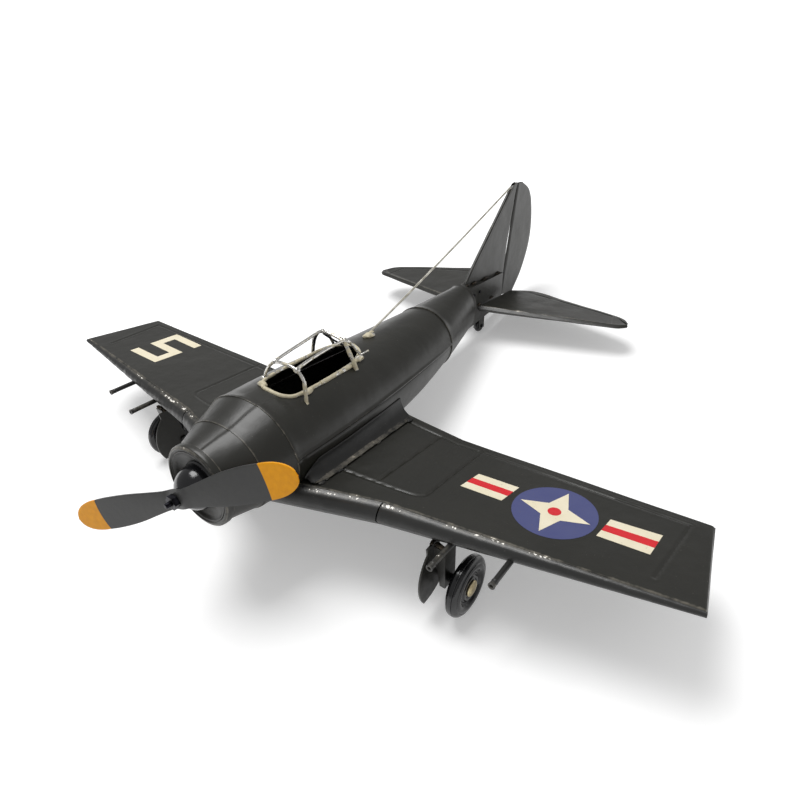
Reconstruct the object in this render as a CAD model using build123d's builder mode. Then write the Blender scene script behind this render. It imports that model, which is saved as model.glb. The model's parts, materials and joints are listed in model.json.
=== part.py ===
from build123d import *

import os
from collections import namedtuple
from math import asin, atan2, cos, degrees, hypot, radians, sin, sqrt

# Sheet-metal propeller plane model, hand soldered, with a turning propeller and three rolling wheels.
# It is drawn in the aircraft's own axes, in millimetres: X forward along the cowl axis, Y to the left
# (port) wing, Z up, with zero at the middle of the cowl's front rim. Each finished piece is then set
# down on its three wheels, nose up, with the floor at Z = 0 and the middle of the object at X = Y = 0.

# ---------------------------------------------------------------- sheet, wire and clearances
sheet = 0.8            # thickness of every sheet piece
small_wire = 0.7       # radius of the canopy wires
rim_wire = 0.9         # radius of the wire round the cockpit
antenna_wire_radius = 0.45
seat_gap = 0.05        # between pieces that are soldered together
running_gap = 0.05     # radial clearance of a bore that turns
side_play = 0.15       # clearance along an axle

# ---------------------------------------------------------------- fuselage
# Each station is an oval across the body: its place along X, half width, top and bottom.
Station = namedtuple("Station", "x half_width top bottom")
cowl_front = Station(0.0, 18.0, 18.0, -18.0)
cowl_middle = Station(-13.0, 24.5, 21.6, -18.2)
cowl_rear = Station(-27.0, 28.5, 26.8, -19.5)
body_front = Station(-62.0, 28.6, 27.0, -22.0)
body_middle = Station(-110.0, 26.0, 24.2, -20.0)
body_rear = Station(-158.0, 19.6, 24.2, -11.5)
cone_rear = Station(-199.0, 10.8, 26.0, -3.6)
seam_height = 7.0      # the upper shell and the belly meet at this height

nose_rim_radius = 18.6
dish_radius = 15.4
dish_depth = 2.0
nose_rim_front = 3.2
nose_rim_edge = 1.2    # flat front of the rolled rim
nose_rim_round = 0.8
dome_radius = 9.7
dome_centre = 1.8
dome_seat = 1.2        # flat of the nose plate round the dome
dome_flat = 0.25       # taken off the dome's front for the washer
nose_flat_radius = dome_radius + dome_seat

# ---------------------------------------------------------------- propeller and its screw
screw_radius = 1.5
screw_head_radius = 2.9
screw_head_height = 2.4
screw_tail = 2.4       # plain end past the nut
screw_tail_radius = screw_radius - 0.3
screw_point = 0.3      # chamfer at the end
washer_radius = 2.9
washer_height = 0.6
nut_flats = 5.5
nut_height = 2.4
hub_radius = 4.4
propeller_radius = 60.0
blade_thickness = 0.8
blade_rest_angle = 24.6
blade_bend = 18.0      # out of square: the left blade is bent back and the other one ahead
bend_radius = 3.0      # where the bend starts
# Radius, chord and twist at each section of a blade.
blade_sections = ((bend_radius, 9.6, 0.0), (12.0, 11.4, 3.0), (24.0, 14.0, 5.0), (38.0, 15.0, 4.0),
                  (49.0, 13.0, 2.0), (55.5, 9.2, 1.0), (propeller_radius, 3.2, 0.0))

# ---------------------------------------------------------------- wing
# Stations of the wing: span, leading and trailing edge of the top skin, their heights, edge depth.
WingStation = namedtuple("WingStation", "y lead trail lead_z trail_z depth")
wing_root = WingStation(12.0, -22.6, -100.0, -5.2, -4.3, 13.4)
wing_joint = WingStation(62.5, -38.0, -100.0, -5.0, -9.0, 12.2)
wing_tip = WingStation(180.0, -51.5, -96.2, -1.0, -2.4, 3.0)
tip_sweep = 7.0        # the tip's trailing corner stands this much nearer the body
nose_bulge = 0.42      # how far the edge strip stands forward, as a share of its depth
joint_slit = 0.3
skin_gap = 0.1         # between the two skins at the trailing edge
fillet_front = -31.0
fillet_rear = -98.0
fillet_width = 7.0
fillet_height = 6.0
fillet_root = 2.6      # how far the fillet starts inside the widest part of the body
edge_droop = 0.3       # the rolled strip's nose hangs this much under its middle

gun_radius = 1.25
gun_bore = 0.6
gun_reach = 13.5       # barrel in front of the edge strip
gun_inside = 5.0       # barrel inside the wing
gun_spans = (94.1, 117.4)
gun_seat = 0.35        # barrel above the foot of the rolled strip

# ---------------------------------------------------------------- main gear
main_wheel_radius = 13.4
main_wheel_width = 6.4
main_axle_x = -45.4
main_axle_z = -36.0
main_axle_radius = 1.2
hub_head_radius = 3.4
hub_head_height = 1.2
axle_tail_radius = 2.0
axle_tail_height = 1.2
spacer_wall = 0.7
hub_crown = 0.72       # the head's raised middle, as a share of its radius
wheel_inner_face = 94.8
leg_inner = 86.4
leg_top_outer = 92.6
leg_foot_outer = 90.6
leg_top_x = -37.5
leg_foot_x = -41.6
leg_top_flange = 8.0
leg_foot_flange = 7.6
leg_foot_drop = 3.4    # leg past the middle of the axle
leg_web_in = 1.0       # the web starts this far outside the door, at the wing
leg_foot_in = 1.6      # and this far at its foot
# The turned steps of a wheel: radii round its boss, and depths inward from its tread.
boss_radius = 4.6
boss_foot_radius = 5.4
boss_depth = 0.6
boss_groove = 0.4
dish_floor = 1.8
dish_face = 1.6
dish_step = 6.4
bead_step = 5.4
groove_step = 3.4
wall_step = 2.8
shoulder_step = 0.8
shoulder_width = 1.4
tread_round = 2.2
tread_groove = 0.7
# Outline of a wheel door below the wing, as X and Z.
door_front_top_x = -34.6
door_rear_top_x = -43.0
door_waist = (-35.2, -18.6)
door_front_bulge = (-29.6, -30.2)
door_tip = (-32.6, -42.6)
door_foot_bulge = (-40.2, -41.2)
door_rear = (main_axle_x - 2.8, main_axle_z)
door_rear_bulge = (-44.6, -24.0)

# ---------------------------------------------------------------- tail wheel
tail_wheel_radius = 4.3
tail_wheel_width = 3.0
tail_axle_x = cone_rear.x - 24.2
tail_axle_z = -9.0
tail_pin_radius = 0.6
tail_pin_head = 1.1
bracket_sheet = 0.6
bracket_length = 6.0
bracket_foot = 1.6     # ears below the middle of the pin
pin_head_height = 0.6
tail_wheel_edge = 0.6

# ---------------------------------------------------------------- tail
# Everything here is placed behind the end of the tail cone.
tail = cone_rear.x
block_half_width = 5.0
block_rear_half_width = 2.6
block_rear = tail - 49.0
block_front_top = 24.0
block_rear_top = 21.0
block_front_bottom = -2.8
block_rear_bottom = -0.6
rivet_places = ((tail - 7.0, 18.0), (tail - 7.0, 12.0), (tail - 15.0, 18.0))
fin_thickness = 2.0
hinge_gap = 0.4
fin_lead = (tail - 1.6, 25.2)
fin_top_lead = (tail - 50.0, 75.0)
fin_top_bulge = (tail - 56.5, 77.2)
fin_top_trail = (tail - 64.0, 76.0)
rudder_top = (tail - 71.0, 75.6)
rudder_shoulder = (tail - 85.5, 65.0)
rudder_bulge = (tail - 90.6, 44.0)
rudder_low = (tail - 89.2, 31.0)
rudder_foot = (tail - 69.0, 1.5)
rudder_hinge_foot = (tail - 50.8, 4.0)
stab_height = 7.2
stab_root_lead = tail - 10.5
stab_root_trail = tail - 54.4
stab_root_span = 6.5
stab_tip_lead = tail - 33.0
stab_tip_front = tail - 37.6
stab_tip_trail = tail - 49.0
stab_tip_round = 7.0
stab_tip_cut = 8.5
stab_corner_trail = tail - 61.4
stab_corner_span = 20.7
stab_half_span = 91.0
stab_root_depth = 4.2
stab_tip_depth = 2.4
stab_edge_depth = 1.2
stab_wall = 0.6
stab_front_trim = 4.0
stab_tip_solid = 10.0  # the tip is solid metal for this length
stab_hollow_rear = tail - 41.0

# ---------------------------------------------------------------- canopy, cockpit and antenna
# Left half of the cockpit rim, from its front to its rear, as X and Y.
rim_points = ((-37.6, 9.0), (-44.5, 13.6), (-80.0, 12.6), (-92.0, 8.0))
rim_front = -37.6
rim_rear = -95.0
rim_bend = 3.0
front_hoop_x = -46.0
rear_hoop_x = -80.0
hoop_top = 34.2
hoop_top_half_width = 7.6
hoop_shoulder = 4.6    # height of a hoop's first bend over its foot
hoop_bend = 2.4
hoop_spread = 1.6      # the front hoop stands this far outside the rim
hoop_lift = 0.3        # and this far off the skin
rail_spread = 6.6
rail_front_height = 33.8
rail_rear_height = 32.0
rail_overhang = 3.4    # rail past the rear hoop before it bends down
rail_bend = 2.0
rail_rear_x = -90.4
antenna_foot_x = -108.0
antenna_share = 0.12   # the wire meets the fin this far down its leading edge
blob_radius = 2.6
rivet_radius = 0.9
rivet_height = 0.6

# ---------------------------------------------------------------- standing attitude
# The floor touches the bottom of the main wheels and of the tail wheel.
wheel_base = main_axle_x - tail_axle_x
wheel_drop = main_axle_z - tail_axle_z
floor_slope = atan2(wheel_drop, wheel_base) - asin(
    (main_wheel_radius - tail_wheel_radius) / hypot(wheel_base, wheel_drop)
)
nose_up = -degrees(floor_slope)

pieces = {}


def finish(builder, label):
    """Name a finished piece and keep it for setting down on the floor."""
    builder.part.label = label
    pieces[label] = builder.part


def across(x, z=0.0):
    """A plane across the body at X: local x runs to port and local y runs up."""
    return Plane(origin=(x, 0, z), x_dir=(0, 1, 0), z_dir=(1, 0, 0))


def along(y):
    """A plane along the body at span Y: local x runs forward and local y runs up."""
    return Plane(origin=(0, y, 0), x_dir=(1, 0, 0), z_dir=(0, -1, 0))


def middle_height(station):
    return (station.top + station.bottom) / 2


def half_height(station):
    return (station.top - station.bottom) / 2


def body_station(x):
    """The body's oval at X, worked out between the drawn stations."""
    stations = (cowl_front, cowl_middle, cowl_rear, body_front, body_middle, body_rear, cone_rear)
    for front, rear in zip(stations, stations[1:]):
        if x >= rear.x:
            break
    share = (front.x - x) / (front.x - rear.x)
    return Station(x, *(a + share * (b - a) for a, b in zip(front[1:], rear[1:])))


def deck_height(x, y):
    """Height of the body's outer surface above a point."""
    station = body_station(x)
    return middle_height(station) + half_height(station) * sqrt(1 - (y / station.half_width) ** 2)


def oval(station, inset):
    """The oval of one station, inset from the skin."""
    with BuildSketch(across(station.x, middle_height(station))) as section:
        Ellipse(station.half_width - inset, half_height(station) - inset)
    return section.sketch


def outline(plane, points):
    """A closed outline of straight lines on a plane."""
    with BuildSketch(plane) as section:
        with BuildLine():
            Polyline(*points, close=True)
        make_face()
    return section.sketch


def tube(stations):
    """Make a tube of sheet through the stations in the open builder."""
    loft([oval(station, 0) for station in stations], ruled=True)
    loft([oval(station, sheet) for station in stations], ruled=True, mode=Mode.SUBTRACT)


def wire_along(points, bends, radius):
    """Sweep a round wire along straight runs joined by arcs in the open builder."""
    with BuildLine() as route:
        FilletPolyline(*points, radius=bends)
    with BuildSketch(Plane(origin=route.line @ 0, z_dir=route.line % 0)) as section:
        Circle(radius)
    sweep(section.sketch, path=route.line)


# ================================================================ body
body_stations = (cowl_rear, body_front, body_middle, body_rear)
with BuildPart() as body_blank:
    loft([oval(station, -seat_gap) for station in (cowl_middle,) + body_stations], ruled=True)

with BuildPart() as nose_plate:
    with BuildSketch(Plane.XZ):
        with BuildLine():
            Polyline(
                (0, screw_radius + seat_gap),
                (0, nose_flat_radius),
                (dish_depth, dish_radius),
                (nose_rim_front, dish_radius + nose_rim_edge),
                (nose_rim_front - nose_rim_edge / 2, nose_rim_radius),
                (0, nose_rim_radius),
                (0, dish_radius + sheet / 2),
                (-sheet, nose_flat_radius + sheet / 2),
                (-sheet, screw_radius + seat_gap),
                close=True,
            )
        make_face()
    revolve(axis=Axis.X)
    fillet(nose_plate.edges().filter_by(GeomType.CIRCLE).sort_by(Axis.X)[-2:], nose_rim_round)
finish(nose_plate, "nose_plate")

with BuildPart() as cowl_front_band:
    tube((cowl_front, cowl_middle))
finish(cowl_front_band, "cowl_front_band")

with BuildPart() as cowl_rear_band:
    tube((cowl_middle, cowl_rear))
finish(cowl_rear_band, "cowl_rear_band")

# The cockpit opening and its rim wire share one outline.
rim_outline = ((rim_front, 0.0),) + rim_points + ((rim_rear, 0.0),)
with BuildPart() as upper_shell:
    tube(body_stations)
    split(bisect_by=Plane.XY.offset(seam_height), keep=Keep.TOP)
    with BuildSketch(Plane.XY.offset(seam_height)):
        with BuildLine():
            half = FilletPolyline(*rim_outline, radius=rim_bend)
            mirror(half, about=Plane.XZ)
        make_face()
        offset(amount=rim_wire + seat_gap)
    extrude(amount=3 * body_front.top, mode=Mode.SUBTRACT)
finish(upper_shell, "upper_shell")

with BuildPart() as belly_shell:
    tube(body_stations)
    split(bisect_by=Plane.XY.offset(seam_height), keep=Keep.BOTTOM)
finish(belly_shell, "belly_shell")

with BuildPart() as tail_cone:
    tube((body_rear, cone_rear))
finish(tail_cone, "tail_cone")

with BuildPart() as tail_bulkhead:
    with BuildSketch(across(cone_rear.x, middle_height(cone_rear))):
        Ellipse(cone_rear.half_width, half_height(cone_rear))
    extrude(amount=-sheet)
finish(tail_bulkhead, "tail_bulkhead")


def block_sections(inset):
    """The front and rear sections of the tail block, inset from its skin."""
    ends = ((block_front, block_half_width, block_front_top, block_front_bottom),
            (block_rear, block_rear_half_width, block_rear_top, block_rear_bottom))
    sections = []
    for x, half_width, top, bottom in ends:
        with BuildSketch(across(x, (top + bottom) / 2)) as section:
            Rectangle(2 * (half_width - inset), top - bottom - 2 * inset)
        sections.append(section.sketch)
    return sections


block_front = cone_rear.x - sheet
with BuildPart() as tail_block:
    loft(block_sections(0))
    loft(block_sections(sheet), mode=Mode.SUBTRACT)
finish(tail_block, "tail_block")


def block_half_width_at(x):
    share = (block_front - x) / (block_front - block_rear)
    return block_half_width + share * (block_rear_half_width - block_half_width)


def block_top_at(x):
    share = (block_front - x) / (block_front - block_rear)
    return block_front_top + share * (block_rear_top - block_front_top)


def block_bottom_at(x):
    share = (block_front - x) / (block_front - block_rear)
    return block_front_bottom + share * (block_rear_bottom - block_front_bottom)


with BuildPart() as tail_rivets:
    for side in (1, -1):
        for x, z in rivet_places:
            face = side * (block_half_width_at(x + rivet_radius) + seat_gap)
            with BuildSketch(Plane(origin=(x, face, z), z_dir=(0, side, 0))):
                Circle(rivet_radius)
            extrude(amount=rivet_height)
finish(tail_rivets, "tail_rivets")

# ================================================================ nose screw and propeller
dome_front = dome_centre + dome_radius
with BuildPart() as spinner_dome:
    with BuildSketch(Plane.XZ):
        with BuildLine():
            Polyline((0, dome_radius - sheet), (0, dome_radius), (dome_centre, dome_radius))
            CenterArc((dome_centre, 0), dome_radius, 0, 90)
            Line((dome_front, 0), (dome_front - sheet, 0))
            CenterArc((dome_centre, 0), dome_radius - sheet, 0, 90)
            Line((dome_centre, dome_radius - sheet), (0, dome_radius - sheet))
        make_face()
    revolve(axis=Axis.X)
    with BuildSketch(across(0)):
        Circle(screw_radius + seat_gap)
    extrude(amount=dome_front + 1, mode=Mode.SUBTRACT)
    with BuildSketch(across(dome_front - dome_flat)):
        Circle(2 * dome_radius)
    extrude(amount=dome_radius, mode=Mode.SUBTRACT)
finish(spinner_dome, "spinner_dome")

washer_back = dome_front - dome_flat
hub_back = washer_back + washer_height + side_play
nut_back = hub_back + blade_thickness + side_play
thread_end = nut_back + nut_height + seat_gap
screw_end = nut_back + nut_height + screw_tail

with BuildPart() as propeller_washer:
    with BuildSketch(across(washer_back)):
        Circle(washer_radius)
        Circle(screw_radius + seat_gap, mode=Mode.SUBTRACT)
    extrude(amount=washer_height)
finish(propeller_washer, "propeller_washer")

with BuildPart() as propeller_screw:
    with BuildSketch(across(-sheet)):
        Circle(screw_head_radius)
    extrude(amount=-screw_head_height)
    with BuildSketch(across(-sheet)):
        Circle(screw_radius)
    extrude(amount=thread_end + sheet)
    with BuildSketch(across(thread_end)):
        Circle(screw_tail_radius)
    extrude(amount=screw_end - thread_end)
    chamfer(propeller_screw.edges().filter_by(GeomType.CIRCLE).sort_by(Axis.X)[-1], screw_point)
finish(propeller_screw, "propeller_screw")

with BuildPart() as propeller_nut:
    with BuildSketch(across(nut_back)):
        RegularPolygon(nut_flats / 2, 6, major_radius=False)
        Circle(screw_radius + seat_gap, mode=Mode.SUBTRACT)
    extrude(amount=nut_height)
finish(propeller_nut, "propeller_nut")

hub_middle = hub_back + blade_thickness / 2
with BuildPart() as propeller:
    for turn in (0, 180):
        angle = radians(blade_rest_angle + turn)
        outward = Vector(0, cos(angle), sin(angle))
        forward = Vector(1, 0, 0)
        chordwise = outward.cross(forward)
        for radius, chord, twist in blade_sections:
            # The chord turns about the blade's own length, which leaves the hub's plane at the bend.
            past_bend = radius - bend_radius
            bend = radians(0 if past_bend == 0 else (-blade_bend if turn == 0 else blade_bend))
            lengthwise = outward * cos(bend) + forward * sin(bend)
            face = forward * cos(bend) - outward * sin(bend)
            lean = radians(twist)
            section_x = chordwise * cos(lean) + face * sin(lean)
            middle = forward * hub_middle + outward * bend_radius + lengthwise * past_bend
            with BuildSketch(Plane(origin=middle, x_dir=section_x, z_dir=lengthwise)):
                Rectangle(chord, blade_thickness)
        loft(ruled=False)
    with BuildSketch(across(hub_back)):
        Circle(hub_radius)
    extrude(amount=blade_thickness)
    with BuildSketch(across(hub_back)):
        Circle(screw_radius + running_gap)
    extrude(amount=blade_thickness, mode=Mode.SUBTRACT)
finish(propeller, "propeller")


# ================================================================ wings
def wing_at(y):
    """The wing's station at a span."""
    inner, outer = (wing_root, wing_joint) if y < wing_joint.y else (wing_joint, wing_tip)
    share = (y - inner.y) / (outer.y - inner.y)
    return WingStation(y, *(a + share * (b - a) for a, b in zip(inner[1:], outer[1:])))


def under_height(x, y):
    """Height of the underside of the wing."""
    s = wing_at(y)
    share = (s.lead - x) / (s.lead - s.trail)
    front = s.lead_z - s.depth
    rear = s.trail_z - 2 * sheet - skin_gap
    return front + share * (rear - front)


def top_outline(s):
    return ((s.lead, s.lead_z), (s.trail, s.trail_z), (s.trail, s.trail_z - sheet),
            (s.lead, s.lead_z - sheet))


def under_outline(s):
    rear = s.trail_z - sheet - skin_gap
    return ((s.lead, s.lead_z - s.depth + sheet), (s.trail, rear), (s.trail, rear - sheet),
            (s.lead, s.lead_z - s.depth))


def blank_outline(s):
    """The room that the wing takes, for cutting the root fillet."""
    slope = (s.lead_z - s.trail_z) / (s.lead - s.trail)
    front, rear = s.lead + s.depth, s.trail - 2
    front_z = s.lead_z + s.depth * slope + 3 * seat_gap
    rear_z = s.trail_z - 2 * slope + 3 * seat_gap
    return ((front, front_z), (rear, rear_z), (rear, rear_z - 3 * s.depth),
            (front, front_z - 3 * s.depth))


def wing_loft(shape, y_from, y_to, side):
    """Stretch one outline between two spans of a wing, in the open builder."""
    loft([outline(along(side * y), shape(wing_at(y))) for y in (y_from, y_to)], ruled=True)


def edge_section(y, side):
    """The rolled strip of the leading edge at a span."""
    s = wing_at(y)
    top, foot = s.lead_z, s.lead_z - s.depth
    nose = s.lead + nose_bulge * s.depth
    nose_z = (top + foot) / 2 - edge_droop
    with BuildSketch(along(side * y)) as section:
        with BuildLine():
            ThreePointArc((s.lead, top), (nose, nose_z), (s.lead, foot))
            Line((s.lead, foot), (s.lead, foot + sheet))
            ThreePointArc((s.lead, foot + sheet), (nose - sheet, nose_z), (s.lead, top - sheet))
            Line((s.lead, top - sheet), (s.lead, top))
        make_face()
    return section.sketch


def edge_loft(y_from, y_to, side):
    """Stretch the rolled edge strip between two spans, in the open builder."""
    loft([edge_section(y, side) for y in (y_from, y_to)], ruled=True)


def trim_tip(side):
    """Cut the tip along its slant, in the open builder."""
    lean = atan2(tip_sweep, wing_tip.lead - wing_tip.trail)
    slant = Plane(origin=(wing_tip.lead, side * wing_tip.y, 0),
                  z_dir=(-sin(lean), side * cos(lean), 0))
    split(bisect_by=slant, keep=Keep.BOTTOM)


def gun_height(y):
    s = wing_at(y)
    return s.lead_z - s.depth + sheet + gun_radius + gun_seat


inner_end = wing_joint.y - joint_slit / 2
outer_start = wing_joint.y + joint_slit / 2
sides = (("left", 1), ("right", -1))

for name, side in sides:
    with BuildPart() as inner_top:
        wing_loft(top_outline, wing_root.y, inner_end, side)
        add(body_blank.part, mode=Mode.SUBTRACT)
    finish(inner_top, f"wing_root_top_{name}")

    with BuildPart() as inner_under:
        wing_loft(under_outline, wing_root.y, inner_end, side)
        add(body_blank.part, mode=Mode.SUBTRACT)
    finish(inner_under, f"wing_root_underside_{name}")

    with BuildPart() as inner_edge:
        edge_loft(wing_root.y, inner_end, side)
        add(body_blank.part, mode=Mode.SUBTRACT)
    finish(inner_edge, f"wing_root_edge_{name}")

    with BuildPart() as outer_top:
        wing_loft(top_outline, outer_start, wing_tip.y, side)
        trim_tip(side)
    finish(outer_top, f"wing_top_{name}")

    with BuildPart() as outer_under:
        wing_loft(under_outline, outer_start, wing_tip.y, side)
        trim_tip(side)
    finish(outer_under, f"wing_underside_{name}")

    with BuildPart() as outer_edge:
        edge_loft(outer_start, wing_tip.y, side)
        trim_tip(side)
        for y in gun_spans:
            with BuildSketch(across(wing_at(y).lead - 1)):
                with Locations((side * y, gun_height(y))):
                    Circle(gun_radius + seat_gap)
            extrude(amount=wing_at(y).depth, mode=Mode.SUBTRACT)
    finish(outer_edge, f"wing_edge_{name}")

    with BuildPart() as guns:
        for y in gun_spans:
            s = wing_at(y)
            tip = s.lead + nose_bulge * s.depth + gun_reach
            back = s.lead - gun_inside
            with BuildSketch(across(back)):
                with Locations((side * y, gun_height(y))):
                    Circle(gun_radius)
                    Circle(gun_bore, mode=Mode.SUBTRACT)
            extrude(amount=tip - back)
    finish(guns, f"gun_barrels_{name}")

    with BuildPart() as wing_blank:
        wing_loft(blank_outline, wing_root.y - 5, wing_joint.y, side)

    # A concave bridge between the side of the body and the top of the wing.
    wall = body_front.half_width - fillet_root
    shelf = wing_root.lead_z - fillet_height
    crest = wing_root.lead_z + fillet_height
    with BuildPart() as wing_fillet:
        with BuildSketch(across(fillet_rear)):
            with BuildLine():
                corner = (side * wing_root.y, shelf)
                inside = (side * wing_root.y, crest)
                high = (side * wall, crest)
                hollow = (side * (wall + 0.45 * fillet_width), wing_root.lead_z + 0.3 * fillet_height)
                low = (side * (wall + fillet_width), wing_root.lead_z + 0.4)
                foot = (side * (wall + fillet_width), shelf)
                Polyline(corner, inside, high)
                ThreePointArc(high, hollow, low)
                Polyline(low, foot, corner)
            make_face()
        extrude(amount=fillet_front - fillet_rear)
        add(body_blank.part, mode=Mode.SUBTRACT)
        add(wing_blank.part, mode=Mode.SUBTRACT)
    finish(wing_fillet, f"wing_fillet_{name}")

# ================================================================ main gear
leg_foot_z = main_axle_z - leg_foot_drop
hub_face = wheel_inner_face + main_wheel_width
for name, side in sides:
    # The leg is a folded strip: a web that faces forward and a flange on its outer side.
    with BuildPart() as gear_leg:
        top_z = min(under_height(leg_top_x, leg_inner), under_height(leg_top_x, leg_top_outer))
        levels = (
            (top_z - seat_gap, leg_top_x, leg_inner + leg_web_in, leg_top_outer, leg_top_flange),
            (leg_foot_z, leg_foot_x, leg_inner + leg_foot_in, leg_foot_outer, leg_foot_flange),
        )
        for z, x, inner, outer, flange in levels:
            corners = ((x, inner), (x, outer), (x - flange, outer), (x - flange, outer - sheet),
                       (x - sheet, outer - sheet), (x - sheet, inner))
            with BuildSketch(Plane.XY.offset(z)):
                with BuildLine():
                    Polyline(*[(px, side * py) for px, py in corners], close=True)
                make_face()
        loft(ruled=True)
        with BuildSketch(along(side * (leg_inner - 2))):
            with Locations((main_axle_x, main_axle_z)):
                Circle(main_axle_radius + seat_gap)
        extrude(amount=-side * 12, mode=Mode.SUBTRACT)
    finish(gear_leg, f"gear_leg_{name}")

    with BuildPart() as wheel_door:
        with BuildSketch(along(side * (leg_inner - sheet))):
            with BuildLine():
                front_top, rear_top = [
                    (x, under_height(x, leg_inner - sheet) - seat_gap)
                    for x in (door_front_top_x, door_rear_top_x)
                ]
                Line(front_top, door_waist)
                ThreePointArc(door_waist, door_front_bulge, door_tip)
                ThreePointArc(door_tip, door_foot_bulge, door_rear)
                ThreePointArc(door_rear, door_rear_bulge, rear_top)
                Line(rear_top, front_top)
            make_face()
            with Locations((main_axle_x, main_axle_z)):
                Circle(main_axle_radius + seat_gap, mode=Mode.SUBTRACT)
        extrude(amount=-side * sheet)
    finish(wheel_door, f"wheel_door_{name}")

    with BuildPart() as main_wheel:
        with BuildSketch(Plane.XY):
            with BuildLine():
                inner, outer = wheel_inner_face, hub_face
                bore = main_axle_radius + running_gap
                reach = main_wheel_radius
                Polyline(
                    (bore, inner + boss_depth),
                    (boss_radius, inner + boss_depth),
                    (boss_foot_radius, inner + dish_floor),
                    (reach - dish_step, inner + dish_floor),
                    (reach - bead_step, inner),
                    (reach - wall_step, inner),
                    (reach - shoulder_step, inner + shoulder_width),
                    (reach, inner + tread_round),
                    (reach, outer - tread_round),
                    (reach - shoulder_step, outer - shoulder_width),
                    (reach - wall_step, outer - tread_groove),
                    (reach - groove_step, outer),
                    (reach - bead_step, outer),
                    (reach - dish_step, outer - dish_face),
                    (boss_foot_radius + 1, outer - dish_face),
                    (boss_foot_radius + boss_groove, outer - boss_depth),
                    (boss_radius, outer - boss_depth),
                    (boss_radius - boss_groove, outer - boss_depth - boss_groove),
                    (bore, outer - boss_depth - boss_groove),
                    close=True,
                )
            make_face()
        revolve(axis=Axis.Y)
    # The wheel is drawn about the Y axis and then stands on its own axle.
    stood = main_wheel.part.moved(Location((main_axle_x, 0, main_axle_z)))
    with BuildPart() as placed_wheel:
        add(stood if side > 0 else stood.mirror(Plane.XZ))
    finish(placed_wheel, f"main_wheel_{name}")

    # Axle: a tail behind the door, the pin, a spacer and the domed rivet head over the wheel.
    with BuildPart() as axle:
        spacer_end = wheel_inner_face + boss_depth - side_play
        head_start = hub_face - boss_depth - boss_groove + side_play
        tail_end = leg_inner - sheet - seat_gap
        crown_start = head_start + hub_head_height
        spans = ((tail_end - axle_tail_height, tail_end, axle_tail_radius),
                 (tail_end, head_start + seat_gap, main_axle_radius),
                 (leg_foot_outer + 0.5, spacer_end, main_axle_radius + spacer_wall),
                 (head_start, crown_start, hub_head_radius),
                 (crown_start, crown_start + hub_head_height / 2, hub_crown * hub_head_radius))
        for y_from, y_to, radius in spans:
            with BuildSketch(along(side * y_from)):
                with Locations((main_axle_x, main_axle_z)):
                    Circle(radius)
            extrude(amount=-side * (y_to - y_from))
    finish(axle, f"main_axle_{name}")

# ================================================================ tail wheel
with BuildPart() as tail_wheel:
    with BuildSketch(along(-tail_wheel_width / 2)):
        with Locations((tail_axle_x, tail_axle_z)):
            Circle(tail_wheel_radius)
            Circle(tail_pin_radius + running_gap, mode=Mode.SUBTRACT)
    extrude(amount=-tail_wheel_width)
    chamfer(tail_wheel.edges().filter_by(GeomType.CIRCLE).group_by(SortBy.RADIUS)[-1], tail_wheel_edge)
finish(tail_wheel, "tail_wheel")

bracket_top = block_bottom_at(tail_axle_x + bracket_length / 2) - seat_gap
ear_inner = tail_wheel_width / 2 + side_play
with BuildPart() as tail_wheel_bracket:
    # A folded clip with two ears, drawn from the front.
    with BuildSketch(across(tail_axle_x - bracket_length / 2)):
        with BuildLine():
            ear_outer = ear_inner + bracket_sheet
            ear_foot = tail_axle_z - bracket_foot
            bridge = bracket_top - bracket_sheet
            Polyline((-ear_outer, ear_foot), (-ear_outer, bracket_top), (ear_outer, bracket_top),
                     (ear_outer, ear_foot), (ear_inner, ear_foot), (ear_inner, bridge),
                     (-ear_inner, bridge), (-ear_inner, ear_foot), close=True)
        make_face()
    extrude(amount=bracket_length)
    with BuildSketch(along(-2 * ear_outer)):
        with Locations((tail_axle_x, tail_axle_z)):
            Circle(tail_pin_radius + seat_gap)
    extrude(amount=-4 * ear_outer, mode=Mode.SUBTRACT)
finish(tail_wheel_bracket, "tail_wheel_bracket")

with BuildPart() as tail_wheel_pin:
    pin_end = ear_outer + seat_gap
    for y_from, y_to, radius in ((-pin_end, pin_end, tail_pin_radius),
                                 (-pin_end - pin_head_height, -pin_end, tail_pin_head),
                                 (pin_end, pin_end + pin_head_height, tail_pin_head)):
        with BuildSketch(along(y_from)):
            with Locations((tail_axle_x, tail_axle_z)):
                Circle(radius)
        extrude(amount=-(y_to - y_from))
finish(tail_wheel_pin, "tail_wheel_pin")

# ================================================================ tail surfaces
hinge_x = fin_top_trail[0]
with BuildPart() as fin:
    foot_front = (fin_lead[0], block_top_at(fin_lead[0]) + seat_gap)
    foot_rear = (block_rear, block_top_at(block_rear) + seat_gap)
    hinge_at_foot = rudder_hinge_foot[0] + (foot_rear[1] - rudder_hinge_foot[1]) * (
        (hinge_x - rudder_hinge_foot[0]) / (fin_top_trail[1] - rudder_hinge_foot[1]))
    with BuildSketch(Plane.XZ):
        with BuildLine():
            Polyline(foot_front, fin_lead, fin_top_lead)
            ThreePointArc(fin_top_lead, fin_top_bulge, fin_top_trail)
            Polyline(fin_top_trail, (hinge_at_foot, foot_rear[1]), foot_front)
        make_face()
    extrude(amount=fin_thickness / 2, both=True)
finish(fin, "fin")

with BuildPart() as rudder:
    with BuildSketch(Plane.XZ):
        with BuildLine():
            hinge_top = (fin_top_trail[0] - hinge_gap, fin_top_trail[1])
            hinge_foot = (rudder_hinge_foot[0] - hinge_gap, rudder_hinge_foot[1])
            Line(hinge_foot, hinge_top)
            Spline(hinge_top, rudder_top, rudder_shoulder, rudder_bulge, rudder_low, rudder_foot)
            Line(rudder_foot, hinge_foot)
        make_face()
    extrude(amount=fin_thickness / 2, both=True)
finish(rudder, "rudder")


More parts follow.
